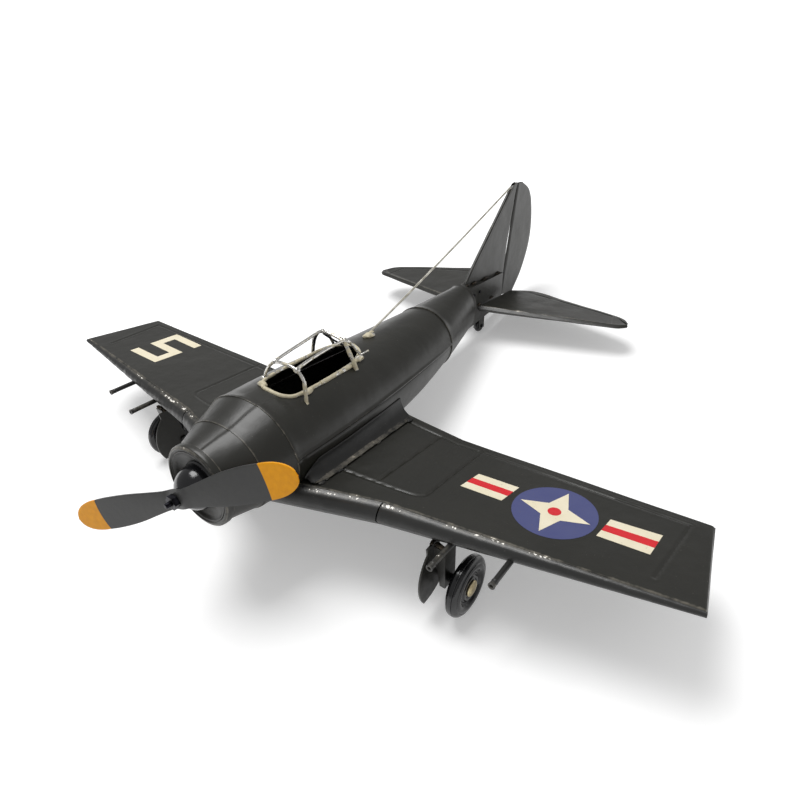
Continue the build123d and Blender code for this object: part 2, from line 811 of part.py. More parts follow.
def stab_lead(y):
    """Leading edge of the tailplane at a span."""
    share = (y - block_half_width) / (stab_half_span - stab_root_span - block_half_width)
    return stab_root_lead + share * (stab_tip_lead - stab_root_lead)


for name, side in sides:
    with BuildPart() as stabiliser:
        # A wedge, thick at its leading edge, trimmed to its outline.
        for y, depth in ((0, stab_root_depth), (stab_half_span, stab_tip_depth)):
            lead = stab_lead(y)
            trail = stab_corner_trail - 1
            with BuildSketch(along(side * y)):
                with BuildLine():
                    Polyline((lead, stab_height + depth / 2), (trail, stab_height + stab_edge_depth / 2),
                             (trail, stab_height - stab_edge_depth / 2), (lead, stab_height - depth / 2),
                             close=True)
                make_face()
        loft(ruled=True)
        # The folded sheet is hollow behind its leading edge.
        hollow = []
        for y, depth in ((0, stab_root_depth), (stab_half_span - stab_tip_solid, stab_tip_depth)):
            front = stab_lead(y) - sheet
            reach = depth / 2 - stab_wall
            corners = ((front, stab_height + reach), (stab_hollow_rear, stab_height),
                       (front, stab_height - reach))
            hollow.append(outline(along(side * y), corners))
        loft(hollow, ruled=True, mode=Mode.SUBTRACT)
        with BuildSketch(Plane.XY):
            with BuildLine():
                shoulder = stab_half_span - stab_tip_round
                Polyline((stab_root_lead + stab_front_trim, 0),
                         (stab_lead(shoulder), side * shoulder),
                         (stab_tip_front, side * stab_half_span),
                         (stab_tip_trail, side * (stab_half_span - stab_tip_cut)),
                         (stab_corner_trail, side * stab_corner_span),
                         (stab_root_trail, side * stab_root_span), (stab_root_trail, 0), close=True)
            make_face()
        extrude(amount=4 * stab_height, mode=Mode.INTERSECT)
        # The root stands against the slanting side of the block and clear of the rudder.
        with BuildSketch(Plane.XY.offset(-4 * stab_height)):
            reach = block_half_width_at(block_rear) + seat_gap
            ahead = stab_root_lead + stab_front_trim + 1
            behind = stab_corner_trail - 1
            slope_front = block_half_width_at(ahead) + seat_gap
            with BuildLine():
                Polyline((ahead, -slope_front), (ahead, slope_front), (block_rear, reach),
                         (behind, reach), (behind, -reach), (block_rear, -reach), close=True)
            make_face()
        extrude(amount=9 * stab_height, mode=Mode.SUBTRACT)
    finish(stabiliser, f"stabiliser_{name}")

# ================================================================ cockpit rim, canopy and antenna
with BuildPart() as cockpit_rim:
    for side in (1, -1):
        route = [(x, side * y, deck_height(x, y) - sheet / 2) for x, y in rim_outline]
        wire_along(route, rim_bend, rim_wire)
finish(cockpit_rim, "cockpit_rim")


def rim_half_width(x):
    """Half width of the cockpit rim at X."""
    for (x_front, y_front), (x_rear, y_rear) in zip(rim_points, rim_points[1:]):
        if x_front >= x >= x_rear:
            return y_front + (x_front - x) / (x_front - x_rear) * (y_rear - y_front)
    return rim_points[0][1]


def hoop(x, foot_y, foot_z, shoulder_y):
    """A bent wire over the cockpit, in the open builder."""
    shoulder_z = foot_z + hoop_shoulder
    half = ((x, foot_y, foot_z), (x, shoulder_y, shoulder_z), (x, hoop_top_half_width, hoop_top))
    wire_along(half + tuple((x, -y, z) for x, y, z in reversed(half)), hoop_bend, small_wire)


with BuildPart() as canopy_front_hoop:
    outer_y = rim_half_width(front_hoop_x) + rim_wire + small_wire + hoop_spread
    foot_z = deck_height(front_hoop_x, outer_y) + small_wire + hoop_lift
    hoop(front_hoop_x, outer_y, foot_z, outer_y - 0.9)
finish(canopy_front_hoop, "canopy_front_hoop")

with BuildPart() as canopy_rear_hoop:
    rim_y = rim_half_width(rear_hoop_x)
    foot_z = deck_height(rear_hoop_x, rim_y) - sheet / 2 + rim_wire + 0.1
    hoop(rear_hoop_x, rim_y, foot_z, rim_y - 0.7)
finish(canopy_rear_hoop, "canopy_rear_hoop")

with BuildPart() as canopy_rails:
    for side in (1, -1):
        rear_y = rim_half_width(rail_rear_x)
        rear_z = deck_height(rail_rear_x, rear_y) - sheet / 2 + rim_wire + 0.4
        route = ((front_hoop_x - small_wire - seat_gap, side * rail_spread, rail_front_height),
                 (rear_hoop_x - rail_overhang, side * rail_spread, rail_rear_height),
                 (rail_rear_x, side * rear_y, rear_z))
        wire_along(route, rail_bend, small_wire)
finish(canopy_rails, "canopy_rails")

antenna_top = [high + antenna_share * (low - high) for high, low in zip(fin_top_lead, fin_lead)]
with BuildPart() as antenna_foot:
    with Locations((antenna_foot_x, 0, deck_height(antenna_foot_x, 0) - 0.6)):
        Sphere(blob_radius)
    add(body_blank.part, mode=Mode.SUBTRACT)
finish(antenna_foot, "antenna_foot")

with BuildPart() as antenna_wire:
    low = Vector(antenna_foot_x, 0, deck_height(antenna_foot_x, 0) + 1.0)
    high = Vector(antenna_top[0], 0, antenna_top[1])
    aim = (high - low).normalized()
    start = low + aim * (blob_radius + 0.2)
    finish_point = high - aim * 1.2
    with BuildSketch(Plane(origin=start, z_dir=aim)):
        Circle(antenna_wire_radius)
    extrude(amount=(finish_point - start).length)
finish(antenna_wire, "antenna_wire")

# ================================================================ set down on the wheels
attitude = Location((0, 0, 0), (0, -nose_up, 0))
tilted = {label: piece.moved(attitude) for label, piece in pieces.items()}
boxes = [piece.bounding_box() for piece in tilted.values()]
rear_end, front_end = min(box.min.X for box in boxes), max(box.max.X for box in boxes)
right_end, left_end = min(box.min.Y for box in boxes), max(box.max.Y for box in boxes)
lowest = min(box.min.Z for box in boxes)
ground = Location((-(rear_end + front_end) / 2, -(right_end + left_end) / 2, -lowest))
os.makedirs("parts", exist_ok=True)
for label, piece in tilted.items():
    placed = piece.moved(ground)
    placed.label = label
    export_step(placed, f"parts/{label}.step")
print(f"nose up {nose_up:.3f} degrees, length {front_end - rear_end:.2f}, span {left_end - right_end:.2f}")
print(f"height {max(box.max.Z for box in boxes) - lowest:.2f}, set down by {ground.position}")
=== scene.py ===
# %% [markdown]
# # A hand-soldered propeller plane model
# The real object is about fifty pieces of thin sheet iron, wire and turned metal, soldered together and
# painted black. Its construction already exists as a CAD frame, which this script loads first. The frame
# says where every piece sits, and Blender adds what the eye wants: pressed lines, bent wire, solder, worn
# paint and light. The frame is loaded before anything else, because every position below comes from it.

import json
import math

import bmesh
import bpy
from mathutils import Matrix, Vector, noise


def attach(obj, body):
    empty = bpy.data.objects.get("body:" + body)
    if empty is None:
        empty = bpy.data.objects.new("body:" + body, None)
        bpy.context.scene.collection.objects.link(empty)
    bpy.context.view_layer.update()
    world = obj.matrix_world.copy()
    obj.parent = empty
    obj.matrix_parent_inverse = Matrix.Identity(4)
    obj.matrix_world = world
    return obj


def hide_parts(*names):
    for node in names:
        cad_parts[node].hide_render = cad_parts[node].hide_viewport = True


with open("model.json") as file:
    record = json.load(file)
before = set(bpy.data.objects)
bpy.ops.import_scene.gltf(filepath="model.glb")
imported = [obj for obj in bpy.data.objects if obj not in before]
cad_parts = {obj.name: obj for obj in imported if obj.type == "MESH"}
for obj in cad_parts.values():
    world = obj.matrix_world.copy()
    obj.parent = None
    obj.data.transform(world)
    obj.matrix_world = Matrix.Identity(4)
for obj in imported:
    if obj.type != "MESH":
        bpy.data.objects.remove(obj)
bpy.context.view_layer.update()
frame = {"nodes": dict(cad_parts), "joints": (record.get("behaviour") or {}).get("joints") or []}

# %% [markdown]
# A plane stands nose up on its tail wheel, so nothing on it is level with the floor. It is much easier to
# model along the plane's own axes: X forward, Y to port and Z up, in millimetres, with zero at the middle
# of the cowl's front rim. The propeller's joint gives the direction of the nose and a point on it, so one
# matrix carries a finished piece from those axes to the floor.

# %% The plane's own axes
MM = 0.001
hub_ahead = 12.4         # the propeller's middle in front of the cowl's rim
spin = next(joint for joint in frame["joints"] if joint["name"] == "propeller_spin")
forward = Vector(spin["axis"]).normalized()
port = Vector((0, 1, 0))
upward = forward.cross(port)
nose_point = Vector(spin["pos_m"]) - forward * hub_ahead * MM
turned = Matrix((forward, port, upward)).transposed().to_4x4()
set_down = Matrix.Translation(nose_point) @ turned @ Matrix.Scale(MM, 4)
back_to_plane = set_down.inverted()
print("nose up", round(math.degrees(math.atan2(forward.z, forward.x)), 2), "degrees")


def plane_box(node):
    """Lowest and highest corner of a CAD node in the plane's own axes."""
    corners = [back_to_plane @ v.co for v in frame["nodes"][node].data.vertices]
    low = Vector([min(c[i] for c in corners) for i in range(3)])
    high = Vector([max(c[i] for c in corners) for i in range(3)])
    return low, high


# %% [markdown]
# The camera stands in front of the port wing, well above the plane, and looks back along the body. It is
# given in the plane's own axes too: a place, a heading, a pitch and a small roll.

# %% Camera
camera_place = Vector((106.8, 180.3, 150.3))
camera_heading, camera_pitch, camera_roll = 216.83, 30.18, -0.87
heading, pitch, roll = map(math.radians, (camera_heading, camera_pitch, camera_roll))
look = Vector((math.cos(pitch) * math.cos(heading), math.cos(pitch) * math.sin(heading), -math.sin(pitch)))
right = look.cross(Vector((0, 0, 1))).normalized()
top = right.cross(look)
right, top = right * math.cos(roll) + top * math.sin(roll), top * math.cos(roll) - right * math.sin(roll)
camera_data = bpy.data.cameras.new("camera")
camera_data.sensor_width = 36
camera_data.lens = 27
camera_data.clip_start = 0.01
camera = bpy.data.objects.new("camera", camera_data)
bpy.context.scene.collection.objects.link(camera)
camera.matrix_world = (
    Matrix.Translation(set_down @ camera_place) @ turned @ Matrix((right, top, -look)).transposed().to_4x4()
)
bpy.context.scene.camera = camera
print("camera at", [round(c, 4) for c in camera.location])

# %% [markdown]
# Materials come next. Colours are written as the hex values a painter would pick from a chart, and one
# function turns them into the linear light that the renderer works with. Another small function adds a
# node with its settings and its inputs, so that each material reads as a list of what it is made of.

# %% Two helpers for materials
def linear(chart):
    """An sRGB hex colour as linear red, green, blue and alpha."""
    parts = [int(chart[i:i + 2], 16) / 255 for i in (1, 3, 5)]
    return [p / 12.92 if p <= 0.04045 else ((p + 0.055) / 1.055) ** 2.4 for p in parts] + [1]


def add_node(tree, kind, inputs=None, **settings):
    """Add a node. Settings are its properties, and inputs are values or other nodes' outputs by name."""
    node = tree.nodes.new(kind)
    for key, value in settings.items():
        setattr(node, key, value)
    for key, value in (inputs or {}).items():
        if isinstance(value, bpy.types.NodeSocket):
            tree.links.new(value, node.inputs[key])
        else:
            node.inputs[key].default_value = value
    return node


def new_material(name):
    """An empty material and the tree of its nodes, with an output and a Principled shader."""
    material = bpy.data.materials.new(name)
    material.use_nodes = True
    tree = material.node_tree
    tree.nodes.clear()
    shader = add_node(tree, "ShaderNodeBsdfPrincipled")
    add_node(tree, "ShaderNodeOutputMaterial", {"Surface": shader.outputs[0]})
    return material, tree, shader


def every(size_mm):
    """Scale of a noise whose spots are that many millimetres across, on coordinates in metres."""
    return 1000 / size_mm


# %% [markdown]
# The plane's skin is sheet iron under black alkyd enamel, put on with a spray and a brush. Such paint is
# satin: it reflects the room softly, and with a refractive index of 1.5 its black looks like a warm dark
# grey wherever it faces the light. Three things keep it from looking like plastic. The colour drifts a
# little over tens of millimetres, dust sits in it as pale specks of a third of a millimetre, and the
# sheet under it isn't quite flat. Paint also leaves the sheet first where a tool or a finger catches it,
# along folded edges. Each mesh carries an attribute called wear, which is 1 on such edges, and noise
# breaks it into separate chips that show pale metal. On a few ridges and beads the same attribute is set
# to make a lighter line, a painted highlight, as noted where it is set.

# %% Black enamel on sheet iron
def enamel(name, paint, patch, chip, roughness, chips=0.0, rub=0.0, grain_mm=2.0):
    """Satin paint on beaten sheet, with dust, uneven gloss and chips where the wear attribute is high."""
    material, tree, shader = new_material(name)
    place = add_node(tree, "ShaderNodeTexCoord").outputs["Object"]
    drift = add_node(tree, "ShaderNodeTexNoise", {"Vector": place, "Scale": every(26), "Detail": 3.0})
    skin = add_node(tree, "ShaderNodeMix", {0: drift.outputs[0], 6: linear(paint), 7: linear(patch)},
                    data_type="RGBA")
    dust = add_node(tree, "ShaderNodeTexNoise", {"Vector": place, "Scale": every(0.8), "Detail": 1.0})
    specks = add_node(tree, "ShaderNodeMapRange", {"Value": dust.outputs[0], "From Min": 0.77,
                                                   "From Max": 0.8,
                                                   "To Max": 0.35})
    dusty = add_node(tree, "ShaderNodeMix", {0: specks.outputs[0], 6: skin.outputs[2], 7: linear("#77726a")},
                     data_type="RGBA")
    wear = add_node(tree, "ShaderNodeAttribute", attribute_name="wear")
    # A long noise picks the stretches that have lost paint, and a short one breaks them into chips.
    stretch = add_node(tree, "ShaderNodeTexNoise", {"Vector": place, "Scale": every(9), "Detail": 1.0})
    flake = add_node(tree, "ShaderNodeTexNoise", {"Vector": place, "Scale": every(grain_mm), "Detail": 2.0})
    both = add_node(tree, "ShaderNodeMath", {0: stretch.outputs[0], 1: flake.outputs[0]},
                    operation="MULTIPLY")
    worn = add_node(tree, "ShaderNodeMath", {0: both.outputs[0], 1: wear.outputs["Fac"]},
                    operation="MULTIPLY")
    rubbed = add_node(tree, "ShaderNodeMapRange", {"Value": worn.outputs[0], "From Min": 0.12,
                                                   "From Max": 0.3,
                                                   "To Max": rub})
    soft = add_node(tree, "ShaderNodeMix", {0: rubbed.outputs[0], 6: dusty.outputs[2], 7: linear("#8b8578")},
                    data_type="RGBA")
    limit = 0.42 - 0.16 * chips
    chipped = add_node(tree, "ShaderNodeMapRange", {"Value": worn.outputs[0], "From Min": limit,
                                                    "From Max": limit + 0.015})
    colour = add_node(tree, "ShaderNodeMix", {0: chipped.outputs[0], 6: soft.outputs[2], 7: linear(chip)},
                      data_type="RGBA")
    tree.links.new(colour.outputs[2], shader.inputs["Base Color"])
    gloss = add_node(tree, "ShaderNodeMapRange", {"Value": drift.outputs[0], "To Min": roughness - 0.07,
                                                  "To Max": roughness + 0.09})
    tree.links.new(gloss.outputs[0], shader.inputs["Roughness"])
    shader.inputs["IOR"].default_value = 1.5
    # Beaten sheet is uneven over a centimetre or so, and sprayed paint over half a millimetre.
    dents = add_node(tree, "ShaderNodeTexNoise", {"Vector": place, "Scale": every(13), "Detail": 2.0})
    peel = add_node(tree, "ShaderNodeTexNoise", {"Vector": place, "Scale": every(0.6), "Detail": 2.0})
    beaten = add_node(tree, "ShaderNodeBump", {"Height": dents.outputs[0], "Distance": 0.0012,
                                               "Strength": 0.35})
    sprayed = add_node(tree, "ShaderNodeBump", {"Height": peel.outputs[0], "Distance": 0.00006,
                                                "Strength": 0.6,
                                                "Normal": beaten.outputs[0]})
    tree.links.new(sprayed.outputs[0], shader.inputs["Normal"])
    return material


black_enamel = enamel("black_enamel", "#14140f", "#1f1e18", "#d8d2c4", 0.36, chips=0.3, rub=0.4)
# The leading edges and guns get a lighter, more neutral black than the body: a painted sheen that stands in
# for the bluish reflection their rounded faces catch. Their extra chips are wear.
edge_enamel = enamel("edge_enamel", "#1c1c1b", "#2b2b2a", "#f4f0e8", 0.34, chips=0.62, rub=0.25, grain_mm=1.2)
# A darker black than the body's. On the root fillets and their drops it is painted shade for the concave
# corner; the axles' shafts take it too.
dark_enamel = enamel("dark_enamel", "#060605", "#0c0c0a", "#8d877a", 0.5, chips=0.2, rub=0.35)
gloss_enamel = enamel("gloss_enamel", "#0b0b0d", "#131316", "#d8d2c4", 0.16)
print("enamels", [m.name for m in (black_enamel, edge_enamel, dark_enamel, gloss_enamel)])

# %% [markdown]
# The canopy is tinned iron wire. It was brushed with a cream colour that has half come off, so bare silver
# shows between patches of cream, with grey flux stains where it was soldered. Tin is a metal, so there the
# base colour is its reflection, and the cream is an ordinary paint: the same noise mixes the two.

# %% Tinned wire with cream paint, solder and plain metals
def metal(name, bright, dull, roughness, spot_mm=3.0):
    """A plain metal whose colour drifts between bright and dull."""
    material, tree, shader = new_material(name)
    place = add_node(tree, "ShaderNodeTexCoord").outputs["Object"]
    spots = add_node(tree, "ShaderNodeTexNoise", {"Vector": place, "Scale": every(spot_mm), "Detail": 3.0})
    spread = add_node(tree, "ShaderNodeMapRange", {"Value": spots.outputs[0], "From Min": 0.35,
                                                   "From Max": 0.65})
    tone = add_node(tree, "ShaderNodeMix", {0: spread.outputs[0], 6: linear(bright), 7: linear(dull)},
                    data_type="RGBA")
    tree.links.new(tone.outputs[2], shader.inputs["Base Color"])
    gloss = add_node(tree, "ShaderNodeMapRange", {"Value": spots.outputs[0], "To Min": roughness - 0.08,
                                                  "To Max": roughness + 0.12})
    tree.links.new(gloss.outputs[0], shader.inputs["Roughness"])
    shader.inputs["Metallic"].default_value = 1.0
    bump = add_node(tree, "ShaderNodeBump", {"Height": spots.outputs[0], "Distance": 0.0003, "Strength": 0.4})
    tree.links.new(bump.outputs[0], shader.inputs["Normal"])
    return material


def painted_wire(name, cream, share):
    """Tinned wire with a given share of cream paint left on it."""
    material, tree, shader = new_material(name)
    place = add_node(tree, "ShaderNodeTexCoord").outputs["Object"]
    patches = add_node(tree, "ShaderNodeTexNoise", {"Vector": place, "Scale": every(4.5), "Detail": 4.0,
                                                    "Roughness": 0.65})
    level = 0.5 + 0.22 * (0.5 - share)
    painted = add_node(tree, "ShaderNodeMapRange", {"Value": patches.outputs[0], "From Min": level - 0.03,
                                                    "From Max": level + 0.03})
    stains = add_node(tree, "ShaderNodeTexNoise", {"Vector": place, "Scale": every(1.6), "Detail": 3.0})
    tin = add_node(tree, "ShaderNodeMix", {0: stains.outputs[0], 6: linear("#f0eee9"), 7: linear("#8c8a86")},
                   data_type="RGBA")
    paint = add_node(tree, "ShaderNodeMix", {0: stains.outputs[0], 6: linear(cream), 7: linear("#a39a80")},
                     data_type="RGBA")
    colour = add_node(tree, "ShaderNodeMix", {0: painted.outputs[0], 6: tin.outputs[2], 7: paint.outputs[2]},
                      data_type="RGBA")
    bare = add_node(tree, "ShaderNodeMath", {0: 1.0, 1: painted.outputs[0]}, operation="SUBTRACT")
    gloss = add_node(tree, "ShaderNodeMapRange", {"Value": painted.outputs[0], "To Min": 0.26,
                                                  "To Max": 0.55})
    tree.links.new(colour.outputs[2], shader.inputs["Base Color"])
    tree.links.new(bare.outputs[0], shader.inputs["Metallic"])
    tree.links.new(gloss.outputs[0], shader.inputs["Roughness"])
    bump = add_node(tree, "ShaderNodeBump", {"Height": patches.outputs[0], "Distance": 0.0004,
                                             "Strength": 0.5})
    tree.links.new(bump.outputs[0], shader.inputs["Normal"])
    return material


cream_wire = painted_wire("cream_wire", "#d8cfb4", 0.75)
tinned_wire = painted_wire("tinned_wire", "#d5cfbe", 0.25)
solder = metal("solder", "#b9b6ad", "#6f6c64", 0.45)
grey_wire = metal("grey_wire", "#cfccc2", "#a09c90", 0.45, spot_mm=6.0)
nickel_brass = metal("nickel_brass", "#c9bd99", "#a8997a", 0.38, spot_mm=2.5)
black_steel = metal("black_steel", "#33333a", "#17171a", 0.35, spot_mm=2.0)
burnt_solder = metal("burnt_solder", "#4d453b", "#211e1a", 0.5, spot_mm=1.6)
print("metals", [m.name for m in (cream_wire, tinned_wire, solder, grey_wire, nickel_brass, black_steel)])

# %% [markdown]
# The propeller is grey enamel with orange tips. The orange was dipped or masked by hand at about the same
# radius on both blades, so the boundary follows the distance from the hub. The markings on the wings are
# flat screen colours: cream, red and blue, each a little faded and scuffed.

# %% Propeller paint and marking colours
def marking(name, colour, faded):
    """A flat printed colour with faint scuffs."""
    material, tree, shader = new_material(name)
    place = add_node(tree, "ShaderNodeTexCoord").outputs["Object"]
    fade = add_node(tree, "ShaderNodeTexNoise", {"Vector": place, "Scale": every(7), "Detail": 4.0})
    tone = add_node(tree, "ShaderNodeMix", {0: fade.outputs[0], 6: linear(colour), 7: linear(faded)},
                    data_type="RGBA")
    scuff = add_node(tree, "ShaderNodeTexNoise", {"Vector": place, "Scale": every(1.1), "Detail": 3.0})
    marks = add_node(tree, "ShaderNodeMapRange", {"Value": scuff.outputs[0], "From Min": 0.66,
                                                  "From Max": 0.74,
                                                  "To Max": 0.35})
    colour_out = add_node(tree, "ShaderNodeMix", {0: marks.outputs[0], 6: tone.outputs[2],
                                                  7: linear("#5c564a")},
                          data_type="RGBA")
    tree.links.new(colour_out.outputs[2], shader.inputs["Base Color"])
    rough = add_node(tree, "ShaderNodeMapRange", {"Value": fade.outputs[0], "To Min": 0.38, "To Max": 0.55})
    tree.links.new(rough.outputs[0], shader.inputs["Roughness"])
    return material


def propeller_paint(name, grey, orange, tip_radius):
    """Grey enamel that turns orange past a radius from the hub, at a sharp edge."""
    material, tree, shader = new_material(name)
    place = add_node(tree, "ShaderNodeTexCoord").outputs["Object"]
    hub = add_node(tree, "ShaderNodeVectorMath", {0: place, 1: Vector(spin["pos_m"])}, operation="SUBTRACT")
    radius = add_node(tree, "ShaderNodeVectorMath", {0: hub.outputs[0]}, operation="LENGTH")
    tip = add_node(tree, "ShaderNodeMapRange", {"Value": radius.outputs["Value"],
                                                "From Min": (tip_radius - 0.1) * MM,
                                                "From Max": (tip_radius + 0.1) * MM})
    mottle = add_node(tree, "ShaderNodeTexNoise", {"Vector": place, "Scale": every(2.2), "Detail": 4.0})
    grey_tone = add_node(tree, "ShaderNodeMix", {0: mottle.outputs[0], 6: linear(grey), 7: linear("#3a3a3a")},
                         data_type="RGBA")
    orange_tone = add_node(tree, "ShaderNodeMix", {0: mottle.outputs[0], 6: linear(orange),
                                                   7: linear("#d98c00")}, data_type="RGBA")
    colour = add_node(tree, "ShaderNodeMix", {0: tip.outputs[0], 6: grey_tone.outputs[2],
                                              7: orange_tone.outputs[2]}, data_type="RGBA")
    wear = add_node(tree, "ShaderNodeAttribute", attribute_name="wear")
    rim = add_node(tree, "ShaderNodeMath", {0: wear.outputs["Fac"], 1: mottle.outputs[0]},
                   operation="MULTIPLY")
    worn = add_node(tree, "ShaderNodeMapRange", {"Value": rim.outputs[0], "From Min": 0.35, "From Max": 0.6,
                                                 "To Max": 0.5})
    edged = add_node(tree, "ShaderNodeMix", {0: worn.outputs[0], 6: colour.outputs[2], 7: linear("#b9b3a4")},
                     data_type="RGBA")
    tree.links.new(edged.outputs[2], shader.inputs["Base Color"])
    shader.inputs["Roughness"].default_value = 0.42
    shader.inputs["IOR"].default_value = 1.35
    bump = add_node(tree, "ShaderNodeBump", {"Height": mottle.outputs[0], "Distance": 0.0002,
                                             "Strength": 0.3})
    tree.links.new(bump.outputs[0], shader.inputs["Normal"])
    return material


blade_enamel = propeller_paint("blade_enamel", "#3f3f3e", "#f5a900", 45.5)
cream_mark = marking("cream_mark", "#ece4ce", "#dacfb0")
red_mark = marking("red_mark", "#d8101f", "#c01a26")
blue_mark = marking("blue_mark", "#3c4274", "#474c78")
print("paints", blade_enamel.name, cream_mark.name, red_mark.name, blue_mark.name)

# %% [markdown]
# The CAD nodes that keep their shape get their finish from a short list. The pieces that are modelled
# anew below hide the node they stand for.

# %% Finishes for the CAD nodes
finish_of = {
    "propeller_nut": black_steel, "propeller_screw": black_steel, "propeller_washer": black_steel,
    "tail_wheel_pin": black_steel, "tail_rivets": black_steel, "propeller": blade_enamel,
    "spinner_dome": gloss_enamel, "main_wheel_left": gloss_enamel, "main_wheel_right": gloss_enamel,
    "tail_wheel": gloss_enamel, "main_axle_left": nickel_brass, "main_axle_right": nickel_brass,
    "cockpit_rim": cream_wire, "canopy_front_hoop": tinned_wire, "canopy_rear_hoop": tinned_wire,
    "canopy_rails": tinned_wire, "antenna_foot": solder, "antenna_wire": grey_wire,
}
for name, node in frame["nodes"].items():
    node.data.materials.clear()
    node.data.materials.append(finish_of.get(name, black_enamel))
print(len(finish_of), "nodes with a finish of their own of", len(frame["nodes"]))

# %% [markdown]
# The plane stands on a white sweep under soft light. The floor is one large pale sheet. White is
# added to it only for the eye and for reflections, through Light Path, so that the background is white
# while the shadow stays and no extra light falls on the paint.

# %% Floor and lights
def floor_finish(name):
    """Pale sheet that glows to pure white, for the eye and for reflections, away from the object."""
    material, tree, shader = new_material(name)
    shader.inputs["Base Color"].default_value = linear("#e9e9e9")
    shader.inputs["Roughness"].default_value = 0.9
    path = add_node(tree, "ShaderNodeLightPath")
    seen = add_node(tree, "ShaderNodeMath", {0: path.outputs["Is Camera Ray"],
                                             1: path.outputs["Is Glossy Ray"]},
                    operation="MAXIMUM")
    seen = add_node(tree, "ShaderNodeMath", {0: seen.outputs[0], 1: path.outputs["Is Transmission Ray"]},
                    operation="MAXIMUM")
    place = add_node(tree, "ShaderNodeTexCoord").outputs["Object"]
    away = add_node(tree, "ShaderNodeVectorMath", {0: place}, operation="LENGTH")
    white = add_node(tree, "ShaderNodeMapRange", {"Value": away.outputs["Value"], "From Min": 0.16,
                                                  "From Max": 0.5, "To Min": 0.28, "To Max": 0.9})
    glow = add_node(tree, "ShaderNodeMath", {0: seen.outputs[0], 1: white.outputs[0]}, operation="MULTIPLY")
    shader.inputs["Emission Color"].default_value = (1, 1, 1, 1)
    tree.links.new(glow.outputs[0], shader.inputs["Emission Strength"])
    return material


floor_half = 12.0
bm = bmesh.new()
bmesh.ops.create_grid(bm, x_segments=1, y_segments=1, size=floor_half)
floor_mesh = bpy.data.meshes.new("floor")
bm.to_mesh(floor_mesh)
bm.free()
floor = bpy.data.objects.new("floor", floor_mesh)
floor.data.materials.append(floor_finish("white_sweep"))
bpy.context.scene.collection.objects.link(floor)

world = bpy.data.worlds.new("studio")
world.use_nodes = True
world.node_tree.nodes.clear()
path = add_node(world.node_tree, "ShaderNodeLightPath")
seen = add_node(world.node_tree, "ShaderNodeMath", {0: path.outputs["Is Camera Ray"], 1: 0.55, 2: 0.45},
                operation="MULTIPLY_ADD")
sky = add_node(world.node_tree, "ShaderNodeBackground", {"Color": (1, 1, 1, 1), "Strength": seen.outputs[0]})
add_node(world.node_tree, "ShaderNodeOutputWorld", {"Surface": sky.outputs[0]})
bpy.context.scene.world = world


def softbox(name, place, aim, width, power):
    """A square lamp that looks from its place to its aim, both in metres on the floor's axes."""
    data = bpy.data.lights.new(name, "AREA")
    data.size = width
    data.energy = power
    lamp = bpy.data.objects.new(name, data)
    lamp.matrix_world = Matrix.Translation(place) @ (Vector(aim) - Vector(place)).to_track_quat(
        "-Z", "Y").to_matrix().to_4x4()
    bpy.context.scene.collection.objects.link(lamp)
    return lamp


softbox("key", (-0.1, -0.3, 1.1), (0, 0, 0), 0.6, 10.5)
softbox("fill", (0.9, 0.5, 0.6), (0, 0, 0), 0.8, 0.3)
bpy.context.scene.view_settings.view_transform = "Standard"

# %% [markdown]
# Every piece below starts as one of Blender's own shapes, mostly a grid of quads that is then bent to
# where it belongs, and is finished by the same few steps: a wall of sheet is given to it, its faces are
# turned outwards, hard folds are marked, and it is carried from the plane's axes to the floor.

# %% Helpers for pieces
PI = math.pi


def mapped_grid(columns, rows, place):
    """A grid whose points go where place(u, v) says, with u and v running from 0 to 1."""
    bm = bmesh.new()
    bmesh.ops.create_grid(bm, x_segments=columns, y_segments=rows, size=0.5)
    for v in bm.verts:
        v.co = Vector(place(v.co.x + 0.5, v.co.y + 0.5))
    return bm


def thicken(bm, wall, outside):
    """Give a sheet its wall, growing away from the side that outside(point) points to."""
    bm.normal_update()
    agree = sum(f.normal.dot(outside(f.calc_center_median())) * f.calc_area() for f in bm.faces)
    if agree < 0:
        bmesh.ops.reverse_faces(bm, faces=bm.faces)
    bmesh.ops.solidify(bm, geom=bm.faces[:], thickness=wall)


def finish_piece(bm, name, finishes, body="airframe", stands_for=(), wear=None, fold=32):
    """Turn the faces outwards, mark the folds, set the piece down and hand it to its body."""
    bmesh.ops.recalc_face_normals(bm, faces=bm.faces)
    layer = bm.verts.layers.float.new("wear")
    for v in bm.verts:
        v[layer] = wear(v.co) if wear else 0.0
    for face in bm.faces:
        face.smooth = True
    for edge in bm.edges:
        if len(edge.link_faces) == 2 and edge.calc_face_angle() > math.radians(fold):
            edge.smooth = False
    bmesh.ops.transform(bm, matrix=set_down, verts=bm.verts)
    mesh = bpy.data.meshes.new(name)
    bm.to_mesh(mesh)
    bm.free()
    for finish in finishes:
        mesh.materials.append(finish)
    piece = bpy.data.objects.new(name, mesh)
    bpy.context.scene.collection.objects.link(piece)
    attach(piece, body)
    if stands_for:
        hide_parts(*stands_for)
    print(name, len(mesh.polygons), "faces")
    return piece


def turned(outline, steps=72, closed=False):
    """Spin an outline of (distance along X, radius) about the X axis."""
    bm = bmesh.new()
    points = [bm.verts.new((x, radius, 0)) for x, radius in outline]
    for a, b in zip(points, points[1:] + (points[:1] if closed else [])):
        bm.edges.new((a, b))
    bmesh.ops.spin(bm, geom=bm.verts[:] + bm.edges[:], cent=(0, 0, 0), axis=(1, 0, 0), angle=2 * PI,
                   steps=steps, use_merge=True)
    bmesh.ops.remove_doubles(bm, verts=bm.verts, dist=0.0005)
    return bm


def lumpy(bm, size, height, seed=0.0):
    """Push points along their normals by a smooth noise."""
    bm.normal_update()
    for v in bm.verts:
        v.co += v.normal * height * noise.noise(v.co / size + Vector((seed, 0, 0)))


